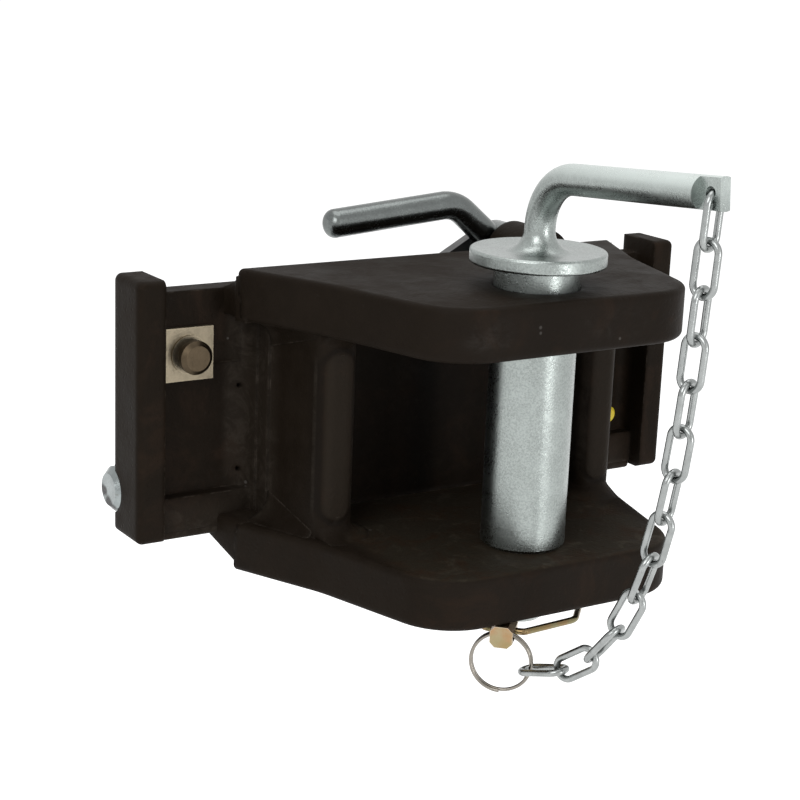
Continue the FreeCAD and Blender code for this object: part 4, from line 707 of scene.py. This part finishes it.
CORNERS = [(side, level) for side in (-1, 1) for level in (-1, 1)]
necks = [neck(side, level) for side, level in CORNERS]
as_one(necks + [web_foot(-1), web_foot(1)], "cast_necks", paint, "carriage")
as_one([cheek_flare(side, level) for side, level in CORNERS], "cheek_flares", paint, "carriage")
as_one([nose_flare(side, level) for side, level in CORNERS], "nose_flares", paint, "carriage")


# Floor, light and camera

FLOOR_Z = -0.30
FLOOR_GLOW = 0.72
AMBIENT = 0.36
BACKDROP = 1.0
PICTURE_PIXELS = 800
FOCAL_PIXELS = 1905.9
CAMERA_PLACE = (-0.4919, -0.6525, 0.2332)
CAMERA_TURN = math.radians(-32.98)
CAMERA_PITCH = math.radians(14.89)
CAMERA_ROLL = math.radians(2.30)

def seen_by_eye(finish):
    """One for rays from the camera and for what metal mirrors, nought for light on the piece."""
    straight, glossy, through = finish.add(
        "ShaderNodeLightPath", {}, {}, "Is Camera Ray", "Is Glossy Ray", "Is Transmission Ray")
    return straight.larger(glossy).larger(through)


def lay_floor():
    """A plain pale floor that the camera and the metal see as white."""
    nothing_selected()
    bpy.ops.mesh.primitive_plane_add(size=30, location=(0, 0, FLOOR_Z))
    floor = bpy.context.active_object
    floor.name = "floor"
    f = Finish("floor_white")
    speck = f.noise(0.5, 2, 0.5).fade(0.3, 0.7)
    f.set(Base_Color=f.mix(speck, (0.93, 0.93, 0.93), (0.95, 0.95, 0.95)), Roughness=0.9,
          Specular_IOR_Level=0.0)
    white = f.tree.nodes.new("ShaderNodeEmission")
    white.inputs["Strength"].default_value = FLOOR_GLOW
    clear = f.tree.nodes.new("ShaderNodeEmission")
    clear.inputs["Strength"].default_value = 0.0
    lift = f.tree.nodes.new("ShaderNodeMixShader")
    f.feed(lift.inputs["Fac"], seen_by_eye(f))
    f.tree.links.new(clear.outputs[0], lift.inputs[1])
    f.tree.links.new(white.outputs[0], lift.inputs[2])
    both = f.tree.nodes.new("ShaderNodeAddShader")
    f.tree.links.new(f.shader.outputs[0], both.inputs[0])
    f.tree.links.new(lift.outputs[0], both.inputs[1])
    f.tree.links.new(both.outputs[0], f.output.inputs["Surface"])
    floor.data.materials.append(f.material)


def light_world():
    """Even white light, with a white backdrop for the camera and for what metal mirrors."""
    world = bpy.data.worlds.new("studio")
    bpy.context.scene.world = world
    world.use_nodes = True
    tree = world.node_tree
    tree.nodes.clear()
    path = tree.nodes.new("ShaderNodeLightPath")
    either = tree.nodes.new("ShaderNodeMath")
    either.operation = "MAXIMUM"
    tree.links.new(path.outputs["Is Camera Ray"], either.inputs[0])
    tree.links.new(path.outputs["Is Glossy Ray"], either.inputs[1])
    any_ray = tree.nodes.new("ShaderNodeMath")
    any_ray.operation = "MAXIMUM"
    tree.links.new(either.outputs[0], any_ray.inputs[0])
    tree.links.new(path.outputs["Is Transmission Ray"], any_ray.inputs[1])
    ambient = tree.nodes.new("ShaderNodeBackground")
    ambient.inputs["Color"].default_value = (1, 1, 1, 1)
    ambient.inputs["Strength"].default_value = AMBIENT
    white = tree.nodes.new("ShaderNodeBackground")
    white.inputs["Color"].default_value = (1, 1, 1, 1)
    white.inputs["Strength"].default_value = BACKDROP
    mixer = tree.nodes.new("ShaderNodeMixShader")
    output = tree.nodes.new("ShaderNodeOutputWorld")
    tree.links.new(any_ray.outputs[0], mixer.inputs["Fac"])
    tree.links.new(ambient.outputs[0], mixer.inputs[1])
    tree.links.new(white.outputs[0], mixer.inputs[2])
    tree.links.new(mixer.outputs[0], output.inputs["Surface"])


def soft_box(name, place, width, height, watts):
    """A flat lamp aimed at the coupling point."""
    data = bpy.data.lights.new(name, "AREA")
    data.shape = "RECTANGLE"
    data.size = width
    data.size_y = height
    data.energy = watts
    lamp = bpy.data.objects.new(name, data)
    bpy.context.scene.collection.objects.link(lamp)
    lamp.location = place
    lamp.rotation_euler = (-Vector(place)).to_track_quat("-Z", "Y").to_euler()


def set_camera():
    """The camera that was fitted to the photograph's straight edges."""
    ahead = Vector((-math.sin(CAMERA_TURN) * math.cos(CAMERA_PITCH),
                    math.cos(CAMERA_TURN) * math.cos(CAMERA_PITCH), -math.sin(CAMERA_PITCH)))
    level = Vector((math.cos(CAMERA_TURN), math.sin(CAMERA_TURN), 0))
    above = level.cross(ahead)
    right = level * math.cos(CAMERA_ROLL) + above * math.sin(CAMERA_ROLL)
    upward = above * math.cos(CAMERA_ROLL) - level * math.sin(CAMERA_ROLL)
    data = bpy.data.cameras.new("camera")
    data.sensor_width = 36
    data.lens = FOCAL_PIXELS * data.sensor_width / PICTURE_PIXELS
    data.clip_start = 0.05
    data.clip_end = 50
    camera = bpy.data.objects.new("camera", data)
    bpy.context.scene.collection.objects.link(camera)
    turn = Matrix((right, upward, -ahead)).transposed()
    camera.matrix_world = Matrix.Translation(Vector(CAMERA_PLACE)) @ turn.to_4x4()
    bpy.context.scene.camera = camera


lay_floor()
light_world()
soft_box("key_left", (-1.5, -0.9, 1.2), 1.2, 1.2, 15)
soft_box("top", (0.1, 0.2, 1.6), 1.4, 1.4, 10)
soft_box("fill_front", (0.5, -1.8, 0.5), 0.8, 1.4, 3)
soft_box("low_front", (0.30, -1.7, -0.02), 0.42, 0.5, 5)
set_camera()
bpy.context.scene.view_settings.view_transform = "Standard"
